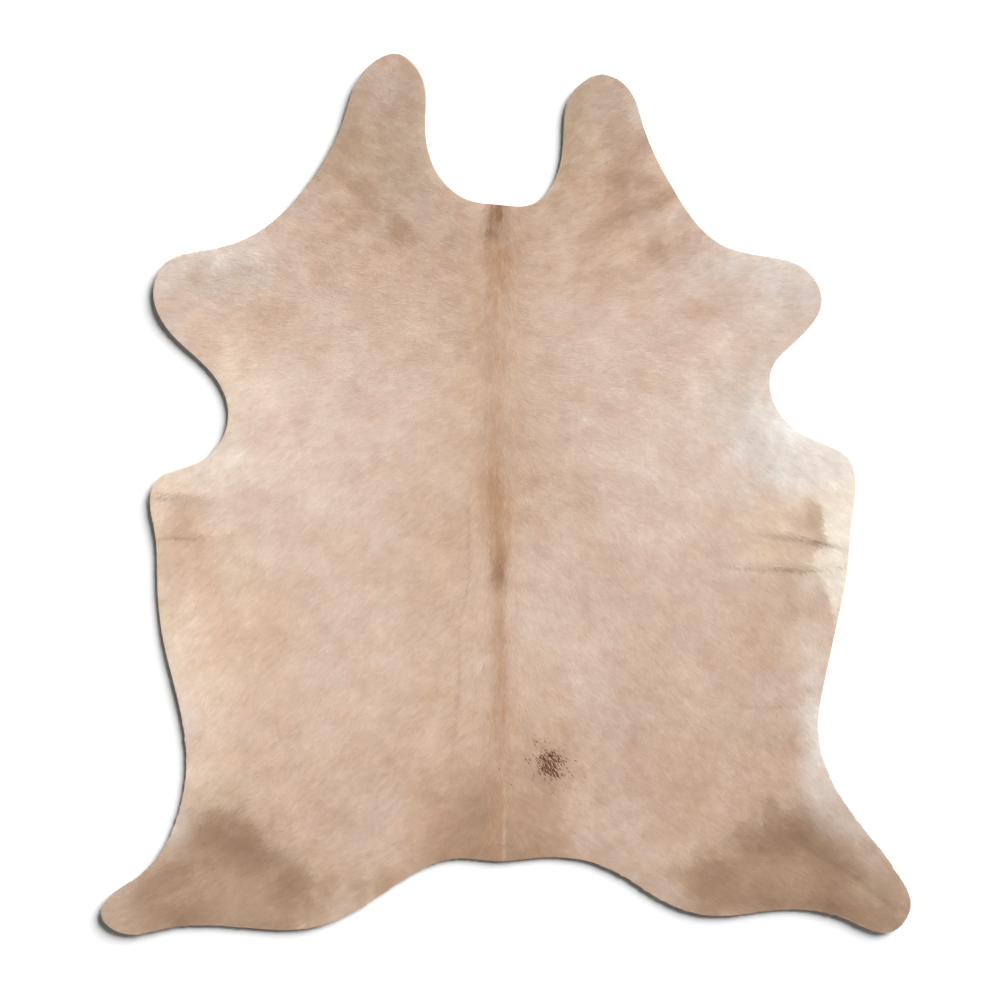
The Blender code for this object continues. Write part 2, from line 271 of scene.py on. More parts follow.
# Broad patches first, then the markings that lie over them
MARKS = (
    Mark("lower back shade", -5.0, -86.0, 66.0, 20.0, Tone.DEEP, 0.75),
    Mark("left of the spine", -18.0, -50.0, 9.0, 22.0, Tone.TAN, 0.20),
    Mark("pale right half", 48.0, 20.0, 28.0, 34.0, Tone.PALE, 0.34),
    Mark("pale right chest", 24.0, 34.0, 14.0, 16.0, Tone.PALE, 0.22),
    Mark("pale left body", -36.0, 10.0, 22.0, 20.0, Tone.PALE, 0.36),
    Mark("pale left side", -48.0, -24.0, 18.0, 22.0, Tone.PALE, 0.18),
    Mark("pale left armpit side", -63.0, 18.0, 10.0, 18.0, Tone.PALE, 0.58),
    Mark("pale left loin", -14.0, -46.0, 10.0, 22.0, Tone.PALE, 0.20),
    Mark("pale left foreleg edge", -78.0, 56.0, 15.0, 8.0, Tone.MILKY, 0.95),
    Mark("pale right body", 42.0, 9.0, 20.0, 14.0, Tone.PALE, 0.45),
    Mark("pale right side", 60.0, 22.0, 12.0, 16.0, Tone.PALE, 0.80),
    Mark("pale right foreleg edge", 67.0, 55.0, 15.0, 9.0, Tone.MILKY, 0.80, turn=-10.0),
    Mark("pale right loin", 11.0, -30.0, 12.0, 16.0, Tone.PALE, 0.40),
    Mark("pale right middle", 36.0, -10.0, 14.0, 12.0, Tone.PALE, 0.30),
    Mark("pale left side of the body", -44.0, 22.0, 9.0, 22.0, Tone.PALE, 0.45),
    Mark("pale right of the chest", 30.0, 13.0, 9.0, 10.0, Tone.PALE, 0.45),
    Mark("pale right ribs", 54.0, 27.0, 8.0, 12.0, Tone.PALE, 0.45),
    Mark("pale left shoulder", -55.0, 63.0, 8.0, 6.0, Tone.PALE, 0.40),
    Mark("left belly ground", -69.0, -26.0, 11.0, 12.0, Tone.DEEP, 0.35),
    Mark("left flank ground", -66.0, -45.0, 11.0, 7.0, Tone.DEEP, 0.30),
    Mark("rump edge shade", 0.0, -97.0, 50.0, 10.0, Tone.TAN, 0.45),
    Mark("grey right rump", 27.0, -86.0, 12.0, 12.0, Tone.DUSK, 0.62, turn=-20.0),
    Mark("grey left rump", -33.0, -82.0, 10.0, 14.0, Tone.DUSK, 0.52, turn=20.0),
    Mark("grey right loin", 30.0, -57.0, 8.0, 11.0, Tone.DUSK, 0.45),
    Mark("left loin patch", -22.0, 0.0, 5.5, 5.5, Tone.TAN, 0.50),
    Mark("right loin patch", 14.0, 6.0, 7.0, 7.0, Tone.TAN, 0.40),
    Mark("right ribs patch", 25.0, -12.0, 8.0, 4.0, Tone.DEEP, 0.40),
    Mark("right side patch", 46.0, -18.0, 4.5, 5.0, Tone.DEEP, 0.40),
    Mark("right flap foot", 17.0, 89.0, 8.0, 10.0, Tone.FLAP, 0.60),
    Mark("right rear shade", 54.0, -54.0, 24.0, 22.0, Tone.DEEP, 0.30),
    Mark("warm left belly", -67.0, -32.0, 13.0, 15.0, Tone.WARM, 0.50),
    Mark("left neck shade", -33.0, 82.0, 14.0, 18.0, Tone.SMEAR, 0.42, turn=15.0),
    Mark("left withers shade", -27.0, 62.0, 18.0, 9.0, Tone.DEEP, 0.35, turn=-35.0),
    Mark("right neck shade", 28.0, 77.0, 15.0, 17.0, Tone.TAN, 0.70, turn=-20.0),
    Mark("right withers shade", 20.0, 61.0, 18.0, 9.0, Tone.DEEP, 0.40, turn=15.0),
    Mark("left flap tip", -29.0, 101.0, 11.0, 11.0, Tone.FLAP, 0.80),
    Mark("right flap tip", 23.0, 98.0, 11.0, 10.0, Tone.FLAP, 0.80),
    Mark("left shoulder shade", -58.0, 40.0, 10.0, 8.0, Tone.TAN, 0.35, turn=-10.0),
    Mark("left foreleg shade", -79.0, 48.5, 8.0, 5.0, Tone.FLAP, 0.55),
    Mark("left foreleg spot", -75.5, 54.0, 3.0, 1.6, Tone.FLAP, 0.50, turn=-30.0),
    Mark("left shoulder front", -63.0, 55.0, 5.0, 3.0, Tone.FLAP, 0.60, turn=10.0),
    Mark("left shoulder spot", -55.0, 47.0, 5.0, 2.4, Tone.TAN, 0.45),
    Mark("left shoulder low spot", -62.0, 41.5, 4.5, 2.0, Tone.TAN, 0.30),
    Mark("right foreleg shade", 73.0, 47.0, 7.0, 7.0, Tone.MILKY, 0.50),
    Mark("left foreleg back", -73.0, 35.5, 5.5, 5.0, Tone.DEEP, 0.25),
    Mark("pale right foreleg back", 67.0, 35.0, 5.0, 4.5, Tone.MILKY, 0.65),
    Mark("pale right ribs side", 56.5, 24.0, 6.0, 7.0, Tone.MILKY, 0.55),
    Mark("pale left shoulder side", -64.0, 48.5, 4.0, 3.5, Tone.PALE, 0.30),
    Mark("right shoulder spot", 46.5, 46.0, 4.0, 2.5, Tone.TAN, 0.50),
    Mark("right chest spot", 43.0, 37.0, 3.0, 1.8, Tone.TAN, 0.35),
    # The dark smears on the left of the neck are painted shade of its fine wrinkles
    Mark("left neck fold", -40.5, 89.5, 3.0, 1.6, Tone.SMEAR, 0.80, turn=-25.0),
    Mark("left neck upper smear", -35.0, 84.3, 4.0, 1.6, Tone.SMEAR, 0.55, turn=-10.0),
    Mark("left neck red smear", -41.0, 78.3, 5.0, 1.7, Tone.TAN, 0.80),
    Mark("left neck dark smear", -33.5, 76.8, 5.0, 2.0, Tone.SMEAR, 0.85, turn=-12.0),
    Mark("left neck long smear", -30.5, 71.0, 8.0, 1.5, Tone.SMEAR, 0.75, turn=-38.0),
    Mark("left neck low smear", -25.0, 65.5, 3.4, 2.6, Tone.SMEAR, 0.70, turn=-20.0),
    Mark("left neck low spot", -34.0, 66.5, 2.6, 1.7, Tone.SMEAR, 0.50),
    Mark("left neck side smear", -40.0, 69.8, 3.5, 1.5, Tone.TAN, 0.60, turn=-20.0),
    Mark("left flap inner shade", -21.0, 91.0, 5.0, 14.0, Tone.DUN, 0.50),
    Mark("left flap foot shade", -37.5, 89.0, 7.0, 6.5, Tone.DUN, 0.75),
    Mark("left neck top smear", -38.5, 87.0, 7.0, 4.5, Tone.SMEAR, 0.55),
    Mark("left neck edge smear", -46.0, 84.0, 3.5, 4.5, Tone.SMEAR, 0.45),
    Mark("left neck inner shade", -26.0, 79.0, 8.0, 6.5, Tone.DUN, 0.70),
    Mark("left neck edge shade", -46.5, 83.5, 4.5, 7.0, Tone.DUN, 0.85, turn=10.0),
    Mark("left withers side", -34.0, 67.0, 7.0, 5.0, Tone.DUN, 0.30, turn=-20.0),
    Mark("left shoulder top", -40.0, 57.0, 6.0, 6.0, Tone.TAN, 0.30),
    Mark("pale left neck corner", -52.0, 72.0, 4.5, 3.5, Tone.MILKY, 0.35),
    Mark("left neck light", -40.0, 73.5, 3.5, 1.8, Tone.PALE, 0.35, turn=-15.0),
    Mark("left withers smear", -15.5, 59.0, 5.5, 1.5, Tone.TAN, 0.60, turn=-35.0),
    Mark("left withers spot", -20.5, 57.0, 2.4, 1.3, Tone.TAN, 0.60, turn=-20.0),
    # The dark smears on the right of the neck are painted shade of its fine wrinkles
    Mark("right neck fold", 33.5, 88.6, 2.6, 2.0, Tone.SMEAR, 0.85, turn=30.0),
    Mark("right neck upper smear", 30.5, 84.0, 2.4, 3.6, Tone.SMEAR, 0.40),
    Mark("right neck dark smear", 26.5, 78.0, 4.6, 2.0, Tone.SMEAR, 0.75, turn=10.0),
    Mark("right neck spot", 33.0, 78.2, 2.8, 1.7, Tone.SMEAR, 0.60),
    Mark("right neck side smear", 38.5, 73.5, 5.0, 1.6, Tone.SMEAR, 0.75, turn=28.0),
    Mark("right neck long smear", 28.0, 68.8, 7.0, 1.9, Tone.SMEAR, 0.70, turn=25.0),
    Mark("right neck low smear", 22.5, 65.6, 3.2, 1.6, Tone.SMEAR, 0.60, turn=15.0),
    Mark("right neck inner smear", 16.0, 75.0, 5.0, 2.2, Tone.TAN, 0.70, turn=10.0),
    Mark("right flap inner shade", 16.0, 95.0, 4.5, 10.0, Tone.DUN, 0.85),
    Mark("right notch shade", 13.5, 84.0, 4.5, 5.5, Tone.DUN, 0.95),
    Mark("right flap inner edge", 13.5, 93.0, 3.0, 9.0, Tone.SMEAR, 0.50),
    Mark("right neck foot", 10.0, 72.5, 6.5, 4.5, Tone.DUN, 0.50),
    Mark("right withers top", 27.0, 60.0, 5.0, 3.6, Tone.TAN, 0.35),
    Mark("right of the spine top", 3.0, 65.0, 3.6, 4.5, Tone.TAN, 0.50),
    Mark("pale right flap side", 33.5, 93.0, 3.5, 6.0, Tone.MILKY, 0.30),
    Mark("right neck light", 42.0, 70.0, 4.0, 1.8, Tone.PALE, 0.40, turn=25.0),
    Mark("right withers spot", 37.0, 61.0, 2.2, 2.4, Tone.SMEAR, 0.45),
    Mark("right withers low spot", 32.5, 58.5, 2.0, 2.0, Tone.TAN, 0.50),
    Mark("right chest smear", 22.0, 22.0, 6.0, 2.0, Tone.TAN, 0.30, turn=-15.0),
    Mark("right chest upper smear", 34.0, 28.0, 6.0, 2.0, Tone.TAN, 0.30, turn=-10.0),
    Mark("pale left armpit", -68.0, 24.0, 5.0, 12.0, Tone.CREAM, 0.55),
    Mark("pale left belly corner", -75.0, 6.0, 10.0, 5.5, Tone.IVORY, 0.70, turn=15.0),
    Mark("pale right armpit", 72.0, 15.0, 11.0, 10.0, Tone.NEAR_WHITE, 0.95, turn=20.0),
    Mark("pale right belly corner", 81.5, 6.5, 10.5, 11.0, Tone.SHELL, 1.00, soft=0.8),
    Mark("left belly corner edge", -87.0, -3.0, 3.0, 6.0, Tone.WARM, 0.50),
    Mark("left belly brown streak", -80.5, -6.5, 4.0, 8.5, Tone.TAN, 0.75, turn=-32.0),
    Mark("left belly brown spot", -81.0, -8.5, 3.6, 1.8, Tone.SMEAR, 0.35),
    Mark("pale left belly middle", -69.5, -6.0, 5.0, 4.5, Tone.CREAM, 0.42),
    Mark("left belly grey spot", -76.5, -15.0, 3.6, 3.4, Tone.TAN, 0.55),
    Mark("left belly lower spot", -71.0, -20.5, 6.0, 3.6, Tone.TAN, 0.22, turn=-25.0),
    Mark("left belly edge spot", -85.5, -26.0, 1.6, 1.8, Tone.SMEAR, 0.35),
    Mark("cream left flank", -79.0, -46.0, 7.0, 16.0, Tone.CREAM, 0.40, turn=8.0),
    Mark("cream left thigh", -75.0, -72.0, 5.5, 6.5, Tone.CREAM, 0.45, turn=-15.0),
    Mark("left flank spot", -64.0, -62.0, 4.0, 2.4, Tone.TAN, 0.30, turn=-20.0),
    Mark("left loin spot", -20.5, -18.5, 6.0, 4.5, Tone.TAN, 0.55),
    Mark("right belly patch", 70.0, -5.0, 8.5, 5.5, Tone.WARM, 0.45),
    Mark("right belly brown patch", 70.0, -6.0, 7.5, 4.4, Tone.TAN, 0.22, soft=0.6),
    Mark("right belly top patch", 74.5, -0.5, 4.0, 2.6, Tone.WARM, 0.35),
    Mark("pale right belly top", 59.0, -5.0, 7.0, 4.5, Tone.CREAM, 0.40),
    Mark("pale right belly low", 48.0, -27.5, 6.0, 6.0, Tone.PALE, 0.40),
    Mark("warm right belly fold", 61.5, -18.0, 4.5, 3.5, Tone.CREAM, 0.40),
    Mark("warm left belly side", -64.0, -17.5, 6.5, 5.5, Tone.CREAM, 0.40),
    Mark("left side spot", -46.0, -18.0, 6.0, 5.0, Tone.DEEP, 0.25),
    Mark("right belly edge patch", 76.4, -6.8, 2.8, 5.2, Tone.TAN, 0.62, soft=0.7),
    Mark("right belly fold patch", 68.0, -14.5, 6.5, 3.2, Tone.WARM, 0.40),
    Mark("right belly lower patch", 66.0, -25.5, 8.0, 7.5, Tone.TAN, 0.42),
    Mark("warm right belly edge", 74.5, -19.0, 3.8, 4.2, Tone.CREAM, 0.78),
    Mark("right belly streak", 70.5, -25.5, 2.0, 5.5, Tone.SMEAR, 0.35),
    Mark("right belly edge shade", 78.0, -28.0, 4.5, 5.0, Tone.TAN, 0.28),
    Mark("right flank spot", 60.0, -35.0, 7.0, 4.0, Tone.TAN, 0.35),
    Mark("right flank low spot", 64.0, -41.0, 3.0, 1.8, Tone.TAN, 0.35),
    Mark("pale right flank", 75.5, -37.5, 4.5, 5.0, Tone.CREAM, 0.48),
    Mark("pale right waist", 79.0, -60.5, 5.0, 15.5, Tone.NEAR_WHITE, 0.54, turn=2.0, soft=0.8),
    Mark("right chest shade", 20.0, -20.0, 7.0, 5.0, Tone.TAN, 0.30),
    Mark("right back shade", 20.0, -5.0, 3.6, 3.6, Tone.TAN, 0.40),
    Mark("pale speck", 16.8, -46.0, 1.3, 1.1, Tone.CREAM, 0.60),
    Mark("freckle shade", 10.0, -58.5, 6.0, 2.6, Tone.TAN, 0.40),
    Mark("freckle halo", 11.0, -67.8, 4.6, 4.4, Tone.HALO, 0.70),
    Mark("tail left shade", -11.0, -83.0, 8.0, 10.0, Tone.SMEAR, 0.65),
    Mark("tail left patch", -6.0, -78.0, 5.6, 6.0, Tone.SMEAR, 0.95),
    Mark("tail left lower patch", -11.0, -82.0, 5.4, 3.4, Tone.SMEAR, 0.60),
    Mark("tail left end", -5.5, -87.0, 5.0, 5.0, Tone.SMEAR, 0.90),
    Mark("tail right shade", 5.0, -80.0, 6.5, 9.0, Tone.SMEAR, 0.50),
    Mark("tail right spot", 3.0, -84.5, 3.2, 2.2, Tone.SMEAR, 0.50),
    Mark("tail root shade", -3.0, -91.5, 15.0, 6.0, Tone.SMEAR, 0.95),
    Mark("tail dark patch", -5.0, -80.0, 7.0, 7.5, Tone.LEG_DARK, 0.32),
    Mark("tail root dark patch", -3.0, -91.0, 13.0, 4.5, Tone.LEG_DARK, 0.40),
    Mark("left rump corner", -44.0, -101.0, 8.0, 6.0, Tone.DUN, 0.75, turn=-20.0),
    Mark("left rump low edge", -29.0, -97.5, 6.0, 4.0, Tone.DUN, 0.60),
    Mark("right rump low edge", 32.0, -97.0, 6.0, 4.0, Tone.DUN, 0.60),
    Mark("left rump side", -50.0, -90.5, 7.0, 4.0, Tone.DUN, 0.45),
    Mark("right rump corner", 44.0, -98.0, 6.0, 6.0, Tone.DUN, 0.50, turn=20.0),
    Mark("right rump side", 47.0, -88.0, 7.0, 4.5, Tone.DUN, 0.50),
    Mark("left thigh shade", -68.5, -76.0, 8.0, 5.5, Tone.DUN, 0.70),
    Mark("right thigh shade", 73.0, -78.0, 4.5, 3.0, Tone.DUN, 0.40),
    Mark("left hip spot", -46.0, -66.0, 5.5, 4.5, Tone.TAN, 0.45),
    Mark("right hip spot", 55.0, -58.0, 6.5, 5.0, Tone.DUN, 0.40),
    Mark("left loin low spot", -16.0, -48.0, 4.5, 4.5, Tone.TAN, 0.40),
    Mark("right loin low spot", 8.5, -45.0, 4.0, 6.5, Tone.TAN, 0.50),
    Mark("pale right hip", 65.0, -50.5, 6.5, 4.5, Tone.PALE, 0.35),
    Mark("left rump spot", -28.5, -96.5, 3.6, 2.4, Tone.SMEAR, 0.60, turn=35.0),
    Mark("left thigh", -69.0, -89.0, 17.0, 9.0, Tone.LEG, 0.90, turn=-28.0, soft=0.6),
    Mark("left hind leg", -72.0, -103.0, 29.0, 13.0, Tone.LEG, 0.95, turn=4.0, soft=0.5),
    Mark("left hind leg front", -92.0, -98.0, 14.0, 11.0, Tone.LEG, 0.90, turn=35.0, soft=0.6),
    Mark("left thigh top", -69.5, -84.0, 6.0, 4.4, Tone.LEG_DARK, 0.75, turn=-10.0),
    Mark("left leg middle", -77.0, -90.5, 6.0, 4.0, Tone.LEG_DARK, 0.38),
    Mark("left thigh middle", -66.0, -87.5, 6.5, 3.4, Tone.LEG_DARK, 0.65, turn=-25.0),
    Mark("left thigh end", -61.0, -91.0, 3.4, 3.0, Tone.LEG_DARK, 0.35),
    Mark("left leg blob", -53.0, -98.0, 4.0, 3.6, Tone.LEG_DARK, 0.85),
    Mark("left leg front spot", -85.5, -96.0, 5.0, 3.0, Tone.LEG_DARK, 0.50, turn=20.0),
    Mark("left leg edge spot", -80.0, -105.5, 6.0, 3.6, Tone.LEG_DARK, 0.70),
    Mark("left leg low shade", -58.0, -108.5, 12.0, 3.0, Tone.LEG_DARK, 0.30),
    Mark("left leg tip spot", -90.5, -102.0, 3.6, 3.6, Tone.LEG_DARK, 0.45),
    Mark("left leg tip", -98.5, -104.5, 6.0, 6.0, Tone.DUSK, 0.35),
    Mark("right thigh", 70.0, -86.0, 15.0, 9.0, Tone.LEG, 0.90, turn=8.0, soft=0.6),
    Mark("right hind leg inner", 57.0, -96.0, 15.0, 8.5, Tone.LEG, 0.95, turn=12.0, soft=0.5),
    Mark("right hind leg", 82.0, -98.0, 24.0, 13.0, Tone.LEG, 0.95, turn=-22.0, soft=0.5),
    Mark("right thigh dark edge", 75.0, -82.5, 3.2, 3.0, Tone.LEG_DARK, 0.30, turn=-20.0),
    Mark("right thigh top", 70.0, -85.5, 6.3, 4.2, Tone.LEG_DARK, 0.92),
    Mark("right thigh inner", 62.0, -88.0, 5.0, 3.4, Tone.LEG_DARK, 0.60),
    Mark("right leg inner blob", 50.0, -95.5, 6.0, 4.2, Tone.LEG_DARK, 0.65),
    Mark("right leg low shade", 61.0, -102.5, 10.0, 4.5, Tone.LEG_DARK, 0.70),
    Mark("right leg outer blob", 81.0, -93.5, 5.2, 5.5, Tone.LEG_DARK, 0.65),
    Mark("right leg edge blob", 81.0, -102.5, 7.0, 3.6, Tone.LEG_DARK, 1.00, turn=-15.0),
    Mark("right leg tip spot", 95.0, -105.0, 5.0, 4.0, Tone.LEG_DARK, 0.50),
    Mark("pale right leg", 88.0, -84.5, 8.0, 4.0, Tone.FLAP, 0.80, turn=-45.0),
    Mark("pale right leg edge", 90.0, -90.5, 5.0, 3.5, Tone.DUSK, 0.45, turn=-50.0),
    Mark("pale right hock", 83.0, -82.5, 5.0, 3.2, Tone.DUSK, 0.75, turn=-25.0),
    Mark("pale right thigh", 80.0, -72.0, 4.0, 6.0, Tone.MILKY, 0.70, turn=-20.0),
    # The two pale marks along the left belly and waist rim are a painted highlight that makes up for the
    # shade on the curled rim
    Mark("pale left belly rim", -86.5, -16.0, 3.0, 11.0, Tone.CREAM, 0.45),
    Mark("pale left waist rim", -80.0, -61.0, 3.0, 8.0, Tone.MILKY, 0.55),
    Mark("pale left hock", -82.5, -80.5, 3.2, 5.5, Tone.MILKY, 0.62),
    Mark("pale left leg rim", -91.5, -94.5, 11.0, 2.4, Tone.DUSK, 0.40, turn=43.0),
    Mark("pale left foreleg back", -82.0, 39.5, 4.5, 3.5, Tone.MILKY, 0.60, turn=-45.0),
    Mark("pale right hock rim", 87.5, -81.5, 5.5, 2.6, Tone.MILKY, 0.40, turn=-50.0),
    Mark("grey left rump rim", -41.0, -103.5, 5.0, 2.4, Tone.DUSK, 0.40, turn=25.0),
    Mark("grey right rump rim", 39.0, -98.5, 6.0, 2.6, Tone.DUSK, 0.45, turn=-25.0),
)

# Thin painted lines: the dark ones are painted shade along the creases of the belly, flank and back, and
# the last is a pale line down to the tail
CREASE_SHADE_AND_PALE_LINES = (
    PaintedLine(
        "upper right belly crease", Axis.ACROSS, Tone.CREASE_SHADE, 0.50,
        ((57.0, -8.8, 0.0), (65.0, -9.8, 0.3), (72.0, -10.6, 0.6), (77.4, -11.6, 1.0),
         (79.5, -12.0, 0.8), (82.0, -12.4, 0.35), (86.0, -13.3, 0.25), (88.0, -13.6, 0.0)),
    ),
    PaintedLine(
        "lower right belly crease", Axis.ACROSS, Tone.CREASE_SHADE, 0.42,
        ((53.5, -17.4, 0.0), (56.5, -17.7, 0.55), (63.6, -18.0, 0.5), (70.5, -18.4, 0.85),
         (73.5, -18.6, 0.7), (77.0, -18.3, 0.4), (83.0, -17.3, 0.35), (88.0, -16.8, 0.0)),
    ),
    PaintedLine(
        "upper left belly crease", Axis.ACROSS, Tone.CREASE_SHADE, 0.45,
        ((-90.0, 0.3, 0.2), (-86.0, 0.0, 0.6), (-81.0, -0.3, 0.45), (-76.0, -0.8, 0.2),
         (-70.0, -1.5, 0.0)),
    ),
    PaintedLine(
        "lower left belly crease", Axis.ACROSS, Tone.CREASE_SHADE, 0.40,
        ((-87.0, -10.1, 0.2), (-82.0, -10.2, 0.7), (-78.0, -10.4, 0.5), (-72.0, -10.9, 0.0)),
    ),
    PaintedLine(
        "right flank crease", Axis.ACROSS, Tone.CREASE_SHADE, 0.45,
        ((46.0, -51.6, 0.0), (56.0, -52.0, 0.2), (66.0, -52.2, 0.25), (74.0, -52.0, 0.0)),
    ),
    PaintedLine(
        "left back crease", Axis.ALONG, Tone.CREASE_SHADE, 0.40,
        ((6.0, -8.2, 0.0), (-4.0, -8.4, 0.35), (-20.0, -8.3, 0.35), (-31.0, -10.4, 0.25),
         (-48.0, -11.0, 0.35), (-65.0, -12.3, 0.3), (-80.0, -13.4, 0.0)),
    ),
    PaintedLine(
        "pale line to the tail", Axis.ALONG, Tone.CREAM, 0.40,
        ((-66.0, -0.4, 0.0), (-74.0, -0.4, 0.2), (-82.0, -0.6, 0.3), (-92.0, -0.6, 0.35)),
    ),
)

SPINE_MARKS = (
    SpineMark(74.0, -2.2, 2.1, 1.00, Tone.SPINE_DARK),
    SpineMark(70.5, -2.2, 2.1, 0.95, Tone.SPINE_DARK),
    SpineMark(68.5, -2.2, 2.3, 0.60, Tone.SPINE_DARK),
    SpineMark(66.5, -2.8, 2.8, 0.90, Tone.SPINE_DARK),
    SpineMark(64.0, -1.8, 3.0, 0.85, Tone.SPINE),
    SpineMark(60.0, -1.6, 3.6, 0.85, Tone.SPINE),
    SpineMark(50.0, -2.2, 3.8, 0.60, Tone.SPINE),
    SpineMark(40.0, -2.2, 4.2, 0.35, Tone.SPINE),
    SpineMark(28.0, -2.4, 3.6, 0.26, Tone.SPINE),
    SpineMark(14.0, -2.4, 3.8, 0.42, Tone.SPINE),
    SpineMark(4.0, -2.8, 3.6, 0.80, Tone.SPINE),
    SpineMark(-5.0, -1.8, 3.9, 0.95, Tone.SPINE),
    SpineMark(-12.0, -1.8, 2.6, 0.95, Tone.SPINE),
    SpineMark(-19.0, -1.6, 1.7, 0.85, Tone.SPINE_DARK),
    SpineMark(-25.0, -1.4, 1.7, 0.45, Tone.SPINE),
    SpineMark(-35.0, -1.2, 2.1, 0.85, Tone.SPINE),
    SpineMark(-43.0, -1.2, 2.0, 0.50, Tone.SPINE),
    SpineMark(-51.0, -1.0, 2.6, 0.70, Tone.SPINE),
    SpineMark(-62.0, -1.0, 2.4, 0.30, Tone.SPINE),
    SpineMark(-75.0, -2.0, 2.2, 0.40, Tone.SPINE),
    SpineMark(-92.0, -2.0, 2.2, 0.40, Tone.SPINE),
)

# The reddish band on both sides of the stripe
BACK_MARKS = (
    SpineMark(76.0, -1.0, 8.0, 0.40, Tone.TAN),
    SpineMark(60.0, -2.0, 10.0, 0.50, Tone.TAN),
    SpineMark(48.0, -4.0, 9.5, 0.65, Tone.TAN),
    SpineMark(34.0, -4.0, 10.5, 0.75, Tone.TAN),
    SpineMark(18.0, -3.5, 14.0, 0.75, Tone.TAN),
    SpineMark(5.0, -3.0, 20.0, 0.75, Tone.TAN),
    SpineMark(-8.0, -6.0, 20.0, 0.62, Tone.TAN),
    SpineMark(-18.0, -13.0, 15.0, 0.60, Tone.TAN),
    SpineMark(-32.0, -12.0, 14.0, 0.48, Tone.TAN),
    SpineMark(-46.0, -12.0, 15.0, 0.58, Tone.TAN),
    SpineMark(-60.0, -10.0, 18.0, 0.62, Tone.TAN),
    SpineMark(-74.0, -4.0, 22.0, 0.70, Tone.TAN),
    SpineMark(-92.0, -4.0, 24.0, 0.85, Tone.TAN),
)

PALE_EDGES = (
    PaleEdge(14.0, 70.0, 6.0, 0.20),
    PaleEdge(6.0, 74.0, 5.0, 0.30),
    PaleEdge(0.0, 77.0, 2.5, 0.80),
    PaleEdge(-2.5, 78.6, 0.9, 1.00),
    PaleEdge(-12.0, 78.8, 0.7, 1.00),
    PaleEdge(-13.6, 75.6, 0.7, 1.00),
    PaleEdge(-17.5, 75.8, 0.8, 1.00),
    PaleEdge(-20.0, 78.1, 0.8, 1.00),
    PaleEdge(-24.0, 79.6, 0.9, 0.95),
    PaleEdge(-29.0, 81.2, 1.2, 0.80),
    PaleEdge(-36.0, 83.0, 1.8, 0.50),
    PaleEdge(-44.0, 86.0, 2.0, 0.00),
)


def smooth(t: Array) -> Array:
    """Soft step: 0 up to t = 0, 1 from t = 1, level at both ends.

    Args:
        t: Where on the step.

    Returns:
        Three t squared less two t cubed, with t held between 0 and 1.
    """
    t = np.clip(t, 0.0, 1.0)
    return t * t * (3.0 - 2.0 * t)


def dome(distance: Array) -> Array:
    """Soft bump, the square of one less the distance squared, which is 0 from distance 1 on."""
    return np.clip(1.0 - distance**2, 0.0, None) ** 2


@dataclass(frozen=True)
class Grain:
    """Repeatable soft noise over the plan, made of random values on a lattice."""

    size: float
    seed: int
    octaves: int = 3
    fade: float = 0.5

    def at(self, x: Array, y: Array) -> Array:
        """Noise at places of the plan: each smaller layer at half the size and a share of the height.

        Args:
            x: Places along X, in the unit of size.
            y: Places along Y.

        Returns:
            Values about 0, mostly between -1 and 1.
        """
        total = np.zeros(np.shape(x))
        reach = 0.0
        for octave in range(self.octaves):
            scale = 2.0**octave / self.size
            share = self.fade**octave
            total += share * self._layer(x * scale, y * scale, self.seed + SEED_STEP * octave)
            reach += share
        return total / reach

    @staticmethod
    def _value(i: Array, j: Array, seed: int) -> Array:
        """Random value from -1 to 1 for each pair of whole numbers.

        Args:
            i: Lattice columns.
            j: Lattice rows.
            seed: Which set of values.

        Returns:
            One value for each pair, always the same for the same pair and seed.
        """
        mix = i.astype(np.uint32) * np.uint32(MIX_COLUMN)
        mix = mix + j.astype(np.uint32) * np.uint32(MIX_ROW)
        mix = mix + np.uint32(seed * MIX_SEED % 2**32)
        mix = (mix ^ (mix >> np.uint32(13))) * np.uint32(MIX_FIRST)
        mix = (mix ^ (mix >> np.uint32(16))) * np.uint32(MIX_SECOND)
        return (mix >> np.uint32(8)).astype(np.float64) / 2**23 - 1.0

    def _layer(self, x: Array, y: Array, seed: int) -> Array:
        """One layer: the four lattice values round each place, blended by a soft step.

        Args:
            x: Places along X, in lattice cells.
            y: Places along Y, in lattice cells.
            seed: Which set of values.

        Returns:
            Values from -1 to 1.
        """
        i, j = np.floor(x), np.floor(y)
        u, v = smooth(x - i), smooth(y - j)
        i, j = i.astype(np.int64), j.astype(np.int64)
        near = self._value(i, j, seed) * (1 - u) + self._value(i + 1, j, seed) * u
        far = self._value(i, j + 1, seed) * (1 - u) + self._value(i + 1, j + 1, seed) * u
        return near * (1 - v) + far * v


